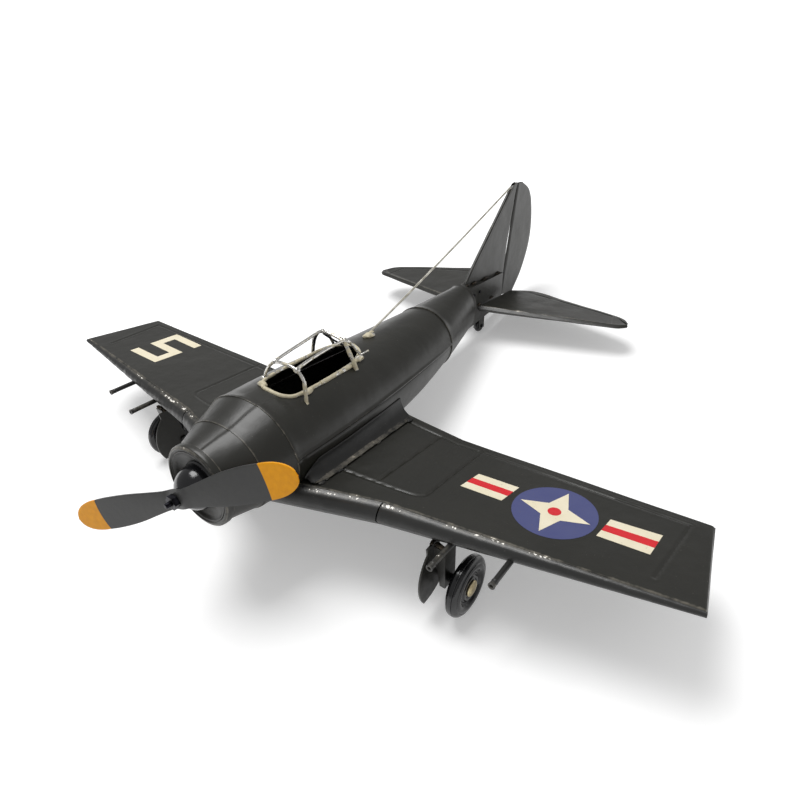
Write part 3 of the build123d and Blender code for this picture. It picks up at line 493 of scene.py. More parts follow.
def add_wire(bm, points, radius, lump=0.06, seed=0.0):
    """Add a round wire that runs smoothly past the points, with closed ends and slight lumps."""
    curve = bpy.data.curves.new("route", "CURVE")
    curve.dimensions = "3D"
    curve.bevel_depth = radius
    curve.bevel_resolution = 3
    curve.use_fill_caps = True
    curve.resolution_u = 10
    spline = curve.splines.new("NURBS")
    spline.points.add(len(points) - 1)
    for point, place in zip(spline.points, points):
        point.co = (*place, 1)
    spline.order_u = 3
    spline.use_endpoint_u = True
    route = bpy.data.objects.new("route", curve)
    mesh = bpy.data.meshes.new_from_object(route)
    wire = bmesh.new()
    wire.from_mesh(mesh)
    bmesh.ops.remove_doubles(wire, verts=wire.verts, dist=0.0005)
    lumpy(wire, 2.2, lump, seed)
    wire.to_mesh(mesh)
    wire.free()
    bm.from_mesh(mesh)
    bpy.data.objects.remove(route)
    bpy.data.curves.remove(curve)
    bpy.data.meshes.remove(mesh)


def add_blob(bm, middle, size, lump=0.25, seed=0.0):
    """Add a drop of solder: a ball pulled to a size and made uneven."""
    made = bmesh.ops.create_icosphere(bm, subdivisions=3, radius=1.0)["verts"]
    for v in made:
        uneven = 1 + lump * noise.noise(v.co * 1.3 + Vector((seed, seed, 0)))
        v.co = Vector(middle) + Vector([c * s for c, s in zip(v.co * uneven, size)])


def between(value, points):
    """Straight-line look-up in a list of (place, value) pairs, in rising order of place."""
    for (a, p), (b, q) in zip(points, points[1:]):
        if value <= b:
            break
    share = min(max((value - a) / (b - a), 0.0), 1.0)
    return p + share * (q - p)


def to_line(point, a, b):
    """Distance of a point in plan from the line between a and b."""
    run = (b[0] - a[0], b[1] - a[1])
    length = run[0] ** 2 + run[1] ** 2
    share = ((point[0] - a[0]) * run[0] + (point[1] - a[1]) * run[1]) / length
    share = min(max(share, 0.0), 1.0)
    return math.hypot(point[0] - a[0] - share * run[0], point[1] - a[1] - share * run[1])


def upwards(point):
    """The outer side of a sheet that is seen from above."""
    return Vector((0, 0, 1))


print("helpers ready")

# %% [markdown]
# The wings are the largest surfaces. On the real plane each top is one sheet from root to tip, folded down
# at the leading edge, and its panel lines were pressed in with a blunt wheel before it was soldered. The
# sheet can be modelled as a grid that follows the wing's plan, fine enough that a groove 1.1 mm wide is
# shaped by the mesh itself: a bump in the material alone would vanish in the exported model. The lines
# run from the CAD wing's own corners, so they're kept as a short list of straight runs in plan.

# %% The plan of the wing
# Span, leading edge, trailing edge, their heights and the depth of the edge strip.
wing_stations = ((12.0, -22.6, -100.0, -5.2, -4.3, 13.4), (62.5, -38.0, -100.0, -5.0, -9.0, 12.2),
                 (180.0, -51.5, -96.2, -1.0, -2.4, 3.0))
wing_joint, wing_out = (s[0] for s in wing_stations[1:])
tip_sweep = 7.0          # how much further out the tip's front corner is than its rear corner
sheet = 0.8


def wing_at(y):
    """Leading edge, trailing edge, their heights and the strip's depth at a span."""
    return [between(y, [(s[0], s[i]) for s in wing_stations]) for i in range(1, 6)]


def wing_height(x, y):
    """Height of a flat wing at a point in plan."""
    lead, trail, lead_z, trail_z, depth = wing_at(abs(y))
    return lead_z + (trail_z - lead_z) * (lead - x) / (lead - trail)


def wing_dents(x, y):
    """How far the beaten top lies above or below the flat wing, on either side of the plane."""
    return 0.22 * noise.noise(Vector((x / 26, y / 34, math.copysign(1.0, y)))) - 0.1


def wing_end(x):
    """Span of the slanting tip at X."""
    lead, trail = wing_stations[2][1:3]
    return wing_out - tip_sweep * (lead - x) / (lead - trail)


panel_lines = (((-44.9, 30), (-49.0, 68)), ((-49.0, 68), (-49.6, 71.5)), ((-49.6, 71.5), (-52.0, 74.0)),
               ((-52.0, 74.0), (-96.5, 75.4)), ((-49.4, 51.8), (-93.5, 53.3)), ((-94.6, 30), (-94.6, 74)),
               ((-94.6, 74), (-92.0, 165.5)), ((-92.0, 165.5), (-57.0, 162.2)))
groove_width = 0.62      # half of a line's width
groove_depth = 0.34


def pressed(x, y, lines, width=groove_width, depth=groove_depth):
    """How deep the nearest pressed line is at a point in plan, with a slight lip beside it."""
    off = min(to_line((x, y), a, b) for a, b in lines)
    return depth * math.exp(-(off / width) ** 2) - 0.07 * math.exp(-((off - 2 * width) / width) ** 2)


def rolled(distance, radius):
    """How far a surface has dropped near an edge that is rolled down to a radius."""
    if distance >= radius:
        return 0.0
    return radius - math.sqrt(max(radius ** 2 - (radius - distance) ** 2, 0.0))


print("wing tip from", [round(wing_end(x), 1) for x in (-51.5, -96.2)])

# %% Wing tops
top_columns, top_rows = 250, 100
top_roll, tip_roll, rear_roll = 0.9, 1.5, 0.45
top_start = 24.0


def wing_top_point(side, u, v):
    """A point of the top sheet: v runs from the leading to the trailing edge, u from root to tip."""
    y = top_start + u * (wing_out - top_start)
    lead, trail, lead_z, trail_z, depth = wing_at(y)
    x = lead + v * (trail - lead)
    # The last stretch of the grid follows the slanting tip.
    y = top_start + u * (wing_end(x) - top_start)
    lead, trail, lead_z, trail_z, depth = wing_at(y)
    x = lead + v * (trail - lead)
    z = wing_height(x, y) - pressed(x, y, panel_lines)
    z -= rolled(lead - x, top_roll) * 0.6 + rolled(wing_end(x) - y, tip_roll) + rolled(x - trail, rear_roll)
    return x, side * y, z + wing_dents(x, side * y)


def wing_wear(point):
    """1 along the crease over the leading edge and a little along the tip and the trailing edge."""
    lead, trail = wing_at(abs(point.y))[:2]
    crease = 1.0 - min(abs(lead - 0.5 - point.x) / 1.3, 1.0)
    rear = 0.75 * (1.0 - min(abs(point.x - trail) / 0.7, 1.0))
    tip = 0.8 * (1.0 - min(abs(wing_end(point.x) - abs(point.y)) / 1.2, 1.0))
    return max(crease, rear, tip)


for name, side in (("left", 1), ("right", -1)):
    bm = mapped_grid(top_columns, top_rows, lambda u, v: wing_top_point(side, u, v))
    thicken(bm, sheet, upwards)
    finish_piece(bm, "wing_skin_" + name, [black_enamel],
                 stands_for=("wing_top_" + name, "wing_root_top_" + name), wear=wing_wear)

# %% [markdown]
# Under that crease a second strip closes the leading edge. It was folded along its middle over a bar, so
# it has an upper face that looks at the light, a soft ridge and a lower face in the dark. It is two
# strips, with a narrow gap where the swept inner wing meets the outer one. By hand such a fold is never
# quite straight, so the strip wanders by a fifth of a millimetre.

# %% Leading edges
# The strip's section as shares of its depth: ahead of the crease, and down from it.
edge_section = ((0.0, 0.0), (0.12, 0.03), (0.24, 0.11), (0.33, 0.24), (0.385, 0.38), (0.41, 0.5),
                (0.385, 0.57),
                (0.31, 0.68), (0.2, 0.82), (0.08, 0.94), (0.0, 1.0))
edge_half_gap = 0.3
edge_sheet = 0.7
edge_start = 13.0        # the inner strip runs in under the body from here
tip_chord = 44.7


def edge_point(side, y_from, y_to, u, v):
    """A point of the edge strip: u runs outwards along it, v round its fold from the crease to the foot."""
    y = y_from + u * (y_to - y_from)
    lead, trail, lead_z, trail_z, depth = wing_at(y)
    step = v * (len(edge_section) - 1)
    places = list(enumerate(edge_section))
    ahead = between(step, [(i, p[0]) for i, p in places])
    down = between(step, [(i, p[1]) for i, p in places])
    wander = 0.22 * noise.noise(Vector((y / 7, side * 3, 0))) + 0.16 * noise.noise(Vector((y / 2.6, 5, side)))
    x = lead - 0.15 + ahead * depth + wander * math.sin(PI * v)
    z = lead_z - 0.45 - down * (depth - 0.45) + 0.5 * wander * v
    slant = 0.0 if y_to < wing_out - 1 else -tip_sweep * (lead - x) / tip_chord * u
    return x, side * (y + slant - 0.3 * (u if slant or y_to > wing_out - 1 else 0)), z


def edge_wear_and_ridge_highlight(point):
    """High at the crease, where paint chips, and along the ridge, where the lighter rub is a painted
    highlight; lower under the strip.
    """
    lead, trail, lead_z, trail_z, depth = wing_at(abs(point.y))
    down = (lead_z - point.z) / depth
    crease = 1.0 - min(abs(down - 0.06) / 0.1, 1.0)
    # Wear on the ridge paints a lighter band along it: a painted highlight.
    ridge = 0.62 * (1.0 - min(abs(down - 0.52) / 0.09, 1.0))
    foot = 0.7 * (1.0 - min(abs(down - 1.0) / 0.1, 1.0))
    return max(crease, ridge, foot)


for name, side in (("left", 1), ("right", -1)):
    for label, old, y_from, y_to in (("root", "wing_root_edge_", edge_start, wing_joint - edge_half_gap),
                                     ("outer", "wing_edge_", wing_joint + edge_half_gap, wing_out)):
        columns = int((y_to - y_from) / 0.8)
        bm = mapped_grid(columns, 20, lambda u, v: edge_point(side, y_from, y_to, u, v))
        thicken(bm, edge_sheet, lambda point: Vector((1, 0, 0)))
        # The strip's lighter black is painted sheen.
        finish_piece(bm, "leading_edge_" + label + "_" + name, [edge_enamel], stands_for=(old + name,),
                     wear=edge_wear_and_ridge_highlight)

# %% [markdown]
# The markings were printed on the left wing as a disc between two striped bars, and on the right wing as
# one large pale sign. Here they're plain shapes: a four-pointed figure with a red dot on a blue disc,
# bars with a red stripe, and a block numeral. Each is a film a few hundredths of a millimetre thick that
# lies on the wing, so its edges stay sharp at any distance, which a picture or a mask can't promise.

# %% Markings
film = 0.05


def laid(bm, lift=0.06):
    """Drop a flat marking onto the wing and give it the thickness of a film."""
    for v in bm.verts:
        v.co.z = wing_height(v.co.x, v.co.y) + wing_dents(v.co.x, v.co.y) + lift
    thicken(bm, film, upwards)


def bar(name, corners):
    """A cream bar between four corners, front in, rear in, rear out and front out, with a red stripe."""
    front_in, rear_in, rear_out, front_out = (Vector(c) for c in corners)
    for part, lift, start, width, paint in (("_ground", 0.06, 0.0, 1.0, cream_mark),
                                            ("_stripe", 0.12, 0.34, 0.32, red_mark)):
        bm = mapped_grid(24, 8, lambda u, v: front_in.lerp(front_out, u).lerp(
            rear_in.lerp(rear_out, u), start + width * v).to_3d())
        laid(bm, lift)
        finish_piece(bm, name + part, [paint])


bar("stripe_inner", ((-65.6, 81.8), (-77.8, 83.6), (-78.4, 102.2), (-66.2, 100.5)))
bar("stripe_outer", ((-66.7, 138.8), (-78.9, 139.9), (-80.3, 158.5), (-67.4, 157.7)))

disc_middle = Vector((-71.4, 120.6, 0))
disc_radius = 16.4
bm = bmesh.new()
for ring in (disc_radius, disc_radius * 0.66, disc_radius * 0.33):
    bmesh.ops.create_circle(bm, segments=72, radius=ring)
rings = sorted(bm.edges, key=lambda e: -e.verts[0].co.length)
bmesh.ops.bridge_loops(bm, edges=rings[:144])
bmesh.ops.bridge_loops(bm, edges=rings[72:])
bmesh.ops.holes_fill(bm, edges=rings[144:])
bmesh.ops.translate(bm, vec=disc_middle, verts=bm.verts)
laid(bm)
finish_piece(bm, "marking_disc", [blue_mark])

bm = bmesh.new()
bmesh.ops.create_circle(bm, cap_ends=True, cap_tris=True, segments=8, radius=14.2)
for v in bm.verts:
    if v.co.length > 1:
        turn = round(math.degrees(math.atan2(v.co.y, v.co.x)) / 45)
        v.co *= 1.0 if turn % 2 == 0 else 0.4
bmesh.ops.subdivide_edges(bm, edges=bm.edges[:], cuts=3, use_grid_fill=True)
bmesh.ops.translate(bm, vec=disc_middle, verts=bm.verts)
laid(bm, 0.12)
finish_piece(bm, "marking_points", [cream_mark])

bm = bmesh.new()
bmesh.ops.create_circle(bm, cap_ends=True, segments=40, radius=2.6)
bmesh.ops.translate(bm, vec=disc_middle, verts=bm.verts)
laid(bm, 0.18)
finish_piece(bm, "marking_dot", [red_mark])

# %% [markdown]
# The numeral is a grid of three columns and five rows with the empty cells taken out, which is how a
# stencil for it would be laid out.

# %% Numeral on the right wing
stroke = 5.4
columns_at = (-120.6, -120.6 - stroke, -145.0 + stroke, -145.0)
rows_at = (-58.6, -58.6 - stroke, -72.0, -72.0 - stroke, -91.0 + stroke, -91.0)
bm = bmesh.new()
bmesh.ops.create_grid(bm, x_segments=5, y_segments=3, size=0.5)
for v in bm.verts:
    row, column = round((v.co.x + 0.5) * 5), round((v.co.y + 0.5) * 3)
    v.co = Vector((rows_at[row], columns_at[column], 0))
empty = []
for face in bm.faces:
    middle = face.calc_center_median()
    row = sum(middle.x < x for x in rows_at[1:-1])
    column = sum(middle.y < y for y in columns_at[1:-1])
    # Rows 1 and 3 hold one upright each: inboard in front, outboard behind.
    if (row == 1 and column != 0) or (row == 3 and column != 2):
        empty.append(face)
bmesh.ops.delete(bm, geom=empty, context="FACES")
bmesh.ops.subdivide_edges(bm, edges=bm.edges[:], cuts=5, use_grid_fill=True)
laid(bm)
finish_piece(bm, "numeral", [cream_mark])

# %% [markdown]
# The body is a row of sheet rings, each lapped over the one in front like a stovepipe. The cowl's two
# rings are plain cones, and behind them the sheet was beaten into one long curve. A ring is a grid whose
# columns go round an oval and whose rows go along the body, so a lap, a bead or a dent is a small move of
# its points. The ovals come from the same seven stations that the CAD body uses.

# %% Shape of the body
# Distance along the body, half width, top and bottom.
body_stations = ((-199.0, 10.8, 26.0, -3.6), (-158.0, 19.6, 24.2, -11.5), (-110.0, 26.0, 24.2, -20.0),
                 (-62.0, 28.6, 27.0, -22.0), (-27.0, 28.5, 26.8, -19.5), (-13.0, 24.5, 21.6, -18.2),
                 (0.0, 18.0, 18.0, -18.0))
side_seam = 7.0
body_sheet = 0.7
last_straight = -27.0


def curved(value, points):
    """Like between(), but along a smooth curve whose slope at each point looks to both neighbours."""
    for i, ((a, p), (b, q)) in enumerate(zip(points, points[1:])):
        if value <= b:
            break
    before, after = points[max(i - 1, 0)], points[min(i + 2, len(points) - 1)]
    slope_a = (q - before[1]) / (b - before[0])
    slope_b = (after[1] - p) / (after[0] - a)
    t, run = (value - a) / (b - a), b - a
    return ((2 * t ** 3 - 3 * t ** 2 + 1) * p + (t ** 3 - 2 * t ** 2 + t) * run * slope_a
            + (3 * t ** 2 - 2 * t ** 3) * q + (t ** 3 - t ** 2) * run * slope_b)


def body_at(x):
    """Half width, middle height and half height of the body at X."""
    if x > last_straight:
        half_width, top, bottom = [between(x, [(s[0], s[i]) for s in body_stations]) for i in (1, 2, 3)]
    else:
        smooth = body_stations[:5]
        half_width, top, bottom = [curved(x, [(s[0], s[i]) for s in smooth]) for i in (1, 2, 3)]
    return half_width, (top + bottom) / 2, (top - bottom) / 2


def deck_height(x, y):
    """Height of the body's upper side."""
    half_width, middle, half_height = body_at(x)
    return middle + half_height * math.sqrt(max(1 - (y / half_width) ** 2, 0.0))


def side_angle(x, z):
    """Angle round the oval, from the left side upwards, of the height z."""
    half_width, middle, half_height = body_at(x)
    return math.asin((z - middle) / half_height)


def top_lap(x, y):
    """The sheet's two edges lap along the top of the cowl, and the left one lies over the right one."""
    seam = between(x, [(-38.0, 8.5), (0.0, 3.5)])
    fade = min(max((x + 38) / 3, 0.0), 1.0)
    return 0.38 * fade / (1 + math.exp(-(y - seam) * 9)) if 0 < y < seam + 9 else (
        0.38 * fade * max(1 - (y - seam - 9) / 8, 0.0) if y >= seam + 9 else 0.0)


def skin_point(x, angle, lift=0.0):
    """A point of the body's skin, beaten slightly uneven and lifted by a bead or a lap."""
    half_width, middle, half_height = body_at(x)
    out_y, out_z = math.cos(angle) * half_height, math.sin(angle) * half_width
    length = math.hypot(out_y, out_z)
    y, z = half_width * math.cos(angle), middle + half_height * math.sin(angle)
    if z > 0:
        lift += top_lap(x, y)
    lift += 0.16 * noise.noise(Vector((x / 14, y / 12, z / 12))) - 0.12
    return x, y + lift * out_y / length, z + lift * out_z / length


def away_from_axis(point):
    """The outer side of the body at a point."""
    return Vector((0, point.y, point.z - body_at(min(max(point.x, -199.0), 0.0))[1]))


worn_width = 0.9         # how far behind its front edge a ring has lost paint


def worn_front(front):
    """Wear close to a ring's front edge."""
    return lambda point: max(1.0 - abs(point.x - front) / worn_width, 0.0)


def ring(name, front, rear, stands_for, lap=0.35, rows=60, flare=0.0):
    """A closed ring of sheet whose front edge lies over the ring before it."""
    def place(u, v):
        x = front + v * (rear - front)
        lift = lap * math.exp(-((front - x) / 2.2) ** 2) + flare * math.exp(-((x - rear) / 0.8) ** 2)
        return skin_point(x, 2 * PI * u, lift)
    bm = mapped_grid(180, rows, place)
    bmesh.ops.remove_doubles(bm, verts=bm.verts, dist=0.001)
    thicken(bm, body_sheet, away_from_axis)
    return finish_piece(bm, name, [black_enamel], stands_for=stands_for, wear=worn_front(front))


ring("cowl_ring_front", -0.1, -13.6, ("cowl_front_band",), lap=0.0, rows=20)
ring("cowl_ring_rear", -12.6, -27.6, ("cowl_rear_band",), rows=30)
ring("tail_ring", -157.2, -198.6, ("tail_cone",), lap=0.5, rows=60, flare=0.5)

# %% [markdown]
# The long middle of the body is two half shells that meet along a side seam. The upper one has the
# cockpit cut out. Its opening could be a boolean, but a boolean leaves thin slivers, so the grid's own
# faces inside the outline are deleted and the points left along the cut are drawn onto the outline. The
# seam is soldered over a small flange, which stands out as a bead along the whole side.

# %% Upper shell, belly and cockpit opening
rim_half = ((-37.6, 0.0), (-37.6, 7.0), (-39.4, 10.6), (-43.5, 13.2), (-60.0, 13.4), (-80.0, 12.6),
            (-90.0, 9.2), (-94.2, 4.6), (-95.0, 0.0))
# The opening was cut narrower on the right, so the whole canopy sits a little towards the left.
rim_other = ((-94.0, -5.4), (-89.6, -9.6), (-82.0, -10.2), (-74.0, -9.0), (-62.0, -7.8), (-50.0, -7.2),
             (-44.0, -6.4), (-40.6, -4.6), (-38.6, -2.2))
opening = [Vector(p) for p in rim_half + rim_other]


def inside_opening(x, y):
    """Whether a point in plan lies inside the opening's outline, by counting the sides that it passes."""
    inside = False
    for a, b in zip(opening, opening[1:] + opening[:1]):
        if (a.y > y) != (b.y > y) and x < (b.x - a.x) * (y - a.y) / (b.y - a.y) + a.x:
            inside = not inside
    return inside


def onto_opening(x, y):
    """The nearest point of the opening's outline."""
    best = None
    for a, b in zip(opening, opening[1:] + opening[:1]):
        share = min(max((Vector((x, y)) - a).dot(b - a) / (b - a).length_squared, 0.0), 1.0)
        near = a.lerp(b, share)
        if best is None or (near - Vector((x, y))).length < (best - Vector((x, y))).length:
            best = near
    return best


shell_front, shell_rear = -26.5, -158.4


def half_shell(upper):
    """The upper or lower half of the long middle of the body."""
    def place(u, v):
        x = shell_front + v * (shell_rear - shell_front)
        angle = side_angle(x, side_seam)
        under = side_angle(x, side_seam + 1.0)       # the belly's edge reaches up behind the upper shell
        start, end = (angle, PI - angle) if upper else (PI - under, 2 * PI + under)
        turn = start + u * (end - start)
        half_width, middle, half_height = body_at(x)
        z = middle + half_height * math.sin(turn)
        bead = 0.55 * math.exp(-((z - side_seam - 0.5) / 0.75) ** 2) if upper else -0.2 * math.exp(
            -((z - side_seam) / 1.5) ** 2) - 0.7 * min(max((z - side_seam + 0.4) / 0.6, 0.0), 1.0)
        lap = 0.38 * math.exp(-((shell_front - x) / 2.2) ** 2)
        return skin_point(x, turn, lap + bead)
    return mapped_grid(130 if upper else 90, 160 if upper else 110, place)


bm = half_shell(True)
cut = [f for f in bm.faces if inside_opening(*f.calc_center_median().xy)]
bmesh.ops.delete(bm, geom=cut, context="FACES")
for v in bm.verts:
    if v.is_boundary and shell_rear + 8 < v.co.x < shell_front - 8 and v.co.z > 18:
        near = onto_opening(*v.co.xy)
        if (near - v.co.xy).length < 2.5:
            v.co = Vector((near.x, near.y, deck_height(near.x, near.y)))
thicken(bm, body_sheet, away_from_axis)


def shell_wear_and_seam_highlight(point):
    """Wear along the front edge, and a lighter line along the bead over the side seam, partly wear and partly
    a painted highlight.
    """
    # A lighter line along the seam's bead, partly wear and partly a painted highlight.
    seam = 0.8 * max(1.0 - abs(point.z - side_seam - 0.4) / 0.6, 0.0)
    return max(worn_front(shell_front)(point), seam)


finish_piece(bm, "body_top", [black_enamel], stands_for=("upper_shell",), wear=shell_wear_and_seam_highlight)
bm = half_shell(False)
thicken(bm, body_sheet, away_from_axis)
finish_piece(bm, "body_belly", [black_enamel], stands_for=("belly_shell",), wear=worn_front(shell_front))

# %% [markdown]
# A hollow strip bridges the corner between body and wing. Its lower edge was tacked to the wing with
# drops of solder, painted over with the rest, and these dark lumps are what makes the joint look made by
# hand. Strip and drops take a darker black than the body, as painted shade for the concave corner, and
# the wear along the strip's lower edge makes a pale line there, a painted highlight. Each strip is a grid
# bent to a quarter round; the drops are balls pulled out of shape.

# %% Fillets along the wing roots
fillet_front, fillet_rear = -30.0, -98.0
fillet_top, fillet_reach = 1.6, 33.6


def fillet_point(side, u, v):
    """A point of the strip: u runs back along it, v from the body down to the wing."""
    x = fillet_front + u * (fillet_rear - fillet_front)
    fade = min(u / 0.12, 1.0) ** 0.5
    half_width, middle, half_height = body_at(x)
    high_z = wing_height(x, 30.0) + 1.0 + (fillet_top - wing_height(x, 30.0)) * fade
    high_y = half_width * math.sqrt(max(1 - ((high_z - middle) / half_height) ** 2, 0.0)) + 0.25
    low_y = high_y + 1.2 + (fillet_reach - high_y) * (0.5 + 0.5 * fade)
    low_z = wing_height(x, low_y) + 0.5
    corner = Vector((high_y + 1.2, low_z + 1.4))
    a, b = Vector((high_y, high_z)), Vector((low_y, low_z))
    point = a.lerp(corner, v).lerp(corner.lerp(b, v), v)
    bead = 0.4 * math.exp(-((v - 0.96) / 0.05) ** 2) + 0.35 * math.exp(-((v - 0.05) / 0.05) ** 2)
    wave = 0.25 * noise.noise(Vector((x / 6, v * 3, side)))
    return x, side * (point.x + bead * 0.3), point.y + bead + wave * v


for name, side in (("left", 1), ("right", -1)):
    bm = mapped_grid(120, 26, lambda u, v: fillet_point(side, u, v))
    thicken(bm, 0.5, lambda point: Vector((0, side, 1)))
    # The darker black is painted shade; wear 1 along the lower edge paints a pale line there, a painted
    # highlight.
    finish_piece(bm, "root_fillet_" + name, [dark_enamel], stands_for=("wing_fillet_" + name,),
                 wear=lambda p: 1.0 if abs(p.y) > fillet_reach - 0.9 else 0.0)

drops = ((-33.0, 1.1, 0.6), (-36.2, 0.8, 0.5), (-44.0, 1.5, 0.7), (-47.5, 1.0, 0.6), (-58.0, 0.9, 0.5),
         (-71.0, 1.3, 0.6), (-84.0, 0.9, 0.5), (-95.5, 1.6, 0.8))
bm = bmesh.new()
for side in (1, -1):
    for number, (x, length, height) in enumerate(drops):
        y = fillet_reach + 0.5
        add_blob(bm, (x, side * y, wing_height(x, y) + 0.2), (1.5 * length, length, height),
                 seed=number + side)
finish_piece(bm, "fillet_drops", [dark_enamel], wear=lambda p: 0.5)

# %% [markdown]
# The nose is a dished plate with a rolled rim, spun on a lathe from sheet. Everything here is a round
# thing, so an outline is drawn once and spun. The dish sits inside a rim with two fine beads, and behind
# the propeller is a small glossy dome.

# %% Nose plate and dome
bm = turned(((-0.8, 1.6), (0.0, 1.6), (0.0, 10.7), (0.25, 11.1), (0.6, 12.0), (1.5, 14.2), (2.0, 15.1),
             (2.5, 15.4),
             (2.85, 15.7), (2.85, 16.0), (2.55, 16.2), (2.6, 16.4), (3.05, 16.7), (3.2, 17.1), (3.05, 17.5),
             (2.7, 17.7), (2.75, 17.9), (2.7, 18.25), (2.3, 18.5), (1.4, 18.6), (0.0, 18.6), (0.0, 16.0),
             (-0.8, 9.6)), steps=96, closed=True)
finish_piece(bm, "nose_dish", [black_enamel], stands_for=("nose_plate",),
             wear=lambda p: 0.9 if 17.3 < math.hypot(p.y, p.z) < 18.5 and p.x > 2 else 0.0, fold=50)

dome_radius, dome_middle = 9.7, 1.8
arc = [(dome_middle + dome_radius * math.sin(t * PI / 2 / 14), dome_radius * math.cos(t * PI / 2 / 14))
       for t in range(13)]
flat = arc[-1][0]
bm = turned([(0.0, dome_radius + 0.9), (0.35, dome_radius + 0.85), (0.6, dome_radius + 0.3),
             (1.0, dome_radius)]
            + arc + [(flat + 0.08, 1.7), (flat - 0.8, 1.7), (0.0, 6.5)], steps=72, closed=True)
lumpy(bm, 7, 0.05)
finish_piece(bm, "dome", [gloss_enamel], stands_for=("spinner_dome",), fold=60)

# %% [markdown]
# The propeller was cut from one strip of sheet and bent by hand. One blade has ended up bent back and
# the other forwards, so the whole of it stands askew on its screw. It can be one grid from tip to tip,
# narrow at the hub and broad at two thirds of the blade, whose points lean away from the hub's plane
# past the bend.

# %% Propeller
blade_length, blade_angle, blade_bend, bend_start = 60.0, math.radians(24.6), math.radians(18.0), 3.0
blade_widths = ((0.0, 9.2), (6.0, 8.6), (14.0, 10.4), (26.0, 13.6), (38.0, 14.9), (46.0, 14.4), (52.0, 13.0))
blade_twist = ((0.0, 0.0), (12.0, 3.0), (24.0, 5.0), (38.0, 4.0), (50.0, 2.0), (60.0, 0.0))
tip_start = 45.0


def blade_width(radius):
    width = curved(min(radius, 52.0), blade_widths)
    if radius > tip_start:
        share = (radius - tip_start) / (blade_length - tip_start)
        width = curved(tip_start, blade_widths) * math.sqrt(max(1 - share ** 2.3, 0.0004))
    return width


def blade_point(u, v):
    """A point of the propeller: u runs from tip to tip, v across the blade."""
    reach = (2 * u - 1) * blade_length
    # Points crowd towards the tips, where the outline curves most.
    reach = math.copysign(blade_length * math.sin(PI / 2 * abs(2 * u - 1)) if abs(reach) > 1e-6 else 0.0,
                          reach)
    sign = 1 if reach >= 0 else -1
    outward = Vector((0, math.cos(blade_angle), math.sin(blade_angle))) * sign
    across = outward.cross(Vector((1, 0, 0)))
    past = max(abs(reach) - bend_start, 0.0)
    ease = past if past > 4 else past ** 2 / 8 + past / 2
    bend = -blade_bend * sign
    middle = Vector((hub_ahead + 0.4, 0, 0)) + outward * (abs(reach) - past + past * math.cos(bend))
    middle.x += ease * math.sin(bend)
    twist = math.radians(between(abs(reach), blade_twist))
    face = Vector((1, 0, 0)) * math.cos(bend) - outward * math.sin(bend)
    chord = across * math.cos(twist) + face * math.sin(twist)
    side = (v - 0.5) if sign > 0 else (0.5 - v)
    bow = 0.4 * math.sin(PI * min(abs(reach) / blade_length, 1.0)) ** 2
    curl = 0.55 * (4 * side * side) * (1 - abs(reach) / 80)
    return middle + chord * (side * blade_width(abs(reach)) - bow) - face * curl


bm = mapped_grid(200, 14, blade_point)
thicken(bm, sheet, lambda point: Vector((1, 0, 0)))
bmesh.ops.recalc_face_normals(bm, faces=bm.faces)
rims = [e for e in bm.edges if e.calc_face_angle(0) > 1.0]
bmesh.ops.bevel(bm, geom=rims, offset=0.2, affect="EDGES", segments=2, profile=0.5, material=-1,
                clamp_overlap=True)
finish_piece(bm, "propeller_blades", [blade_enamel], body="propeller", stands_for=("propeller",),
             wear=lambda p: 0.0, fold=50)

# %% [markdown]
# The canopy is a cage of hand-bent wire. No two of its bends are the same: the hoops lean, the wires cross
# at their joints instead of meeting, and solder has run along them. Each wire is a smooth curve through a
# few places, turned into a mesh so that noise can make it lumpy, and drops of solder sit on the joints.

# %% Cockpit rim
def on_deck(x, y, lift=0.25):
    """A place just above the body's upper side."""
    return x, y, deck_height(x, y) + lift


rim_left = [on_deck(p.x, p.y) for p in opening if p.y >= 0]
rim_right = [on_deck(p.x, p.y) for p in [opening[0]] + opening[:len(rim_half) - 2:-1]]
bm = bmesh.new()
add_wire(bm, rim_left[:6], 0.9, seed=1)
add_wire(bm, [on_deck(-58.0, 13.5, 0.35)] + [(x, y, z + 0.1) for x, y, z in rim_left[5:]], 1.05, lump=0.12,
         seed=2)
add_wire(bm, rim_right, 0.85, seed=3)
add_blob(bm, on_deck(-39.6, -3.2, 0.3), (1.5, 2.6, 1.3), seed=4)
add_blob(bm, on_deck(-50.0, 14.0, 0.2), (2.6, 1.2, 1.1), seed=5)
add_blob(bm, on_deck(-87.5, 10.8, 0.4), (2.6, 1.9, 1.5), lump=0.5, seed=6)
add_blob(bm, on_deck(-94.6, -0.5, 0.3), (1.4, 2.2, 1.2), seed=7)
finish_piece(bm, "cockpit_edge_wire", [cream_wire], stands_for=("cockpit_rim",))

# %% Hoops and rails
wire_radius = 0.72
front_hoop = ((-45.4, 16.7, 21.3), (-45.7, 16.5, 26.0), (-46.0, 16.0, 31.6), (-46.0, 13.6, 35.2),
              (-46.0, 9.5, 36.5), (-46.2, 4.0, 36.6), (-46.0, -1.2, 36.1), (-46.0, -4.8, 32.9),
              (-45.6, -7.8, 28.6), (-45.2, -8.4, 25.4))
rear_hoop = ((-80.4, 14.9, 22.2), (-80.2, 13.0, 27.0), (-80.0, 10.6, 31.6), (-80.0, 8.9, 34.8),
             (-80.0, 5.0, 36.4),
             (-80.0, -4.0, 37.2), (-80.0, -8.4, 35.4), (-80.0, -11.4, 31.0), (-80.0, -12.4, 23.0))
bm = bmesh.new()
add_wire(bm, front_hoop, wire_radius, seed=8)
add_blob(bm, (-45.2, -8.4, 26.0), (1.2, 1.6, 1.3), seed=9)
finish_piece(bm, "hoop_front", [tinned_wire], stands_for=("canopy_front_hoop",))

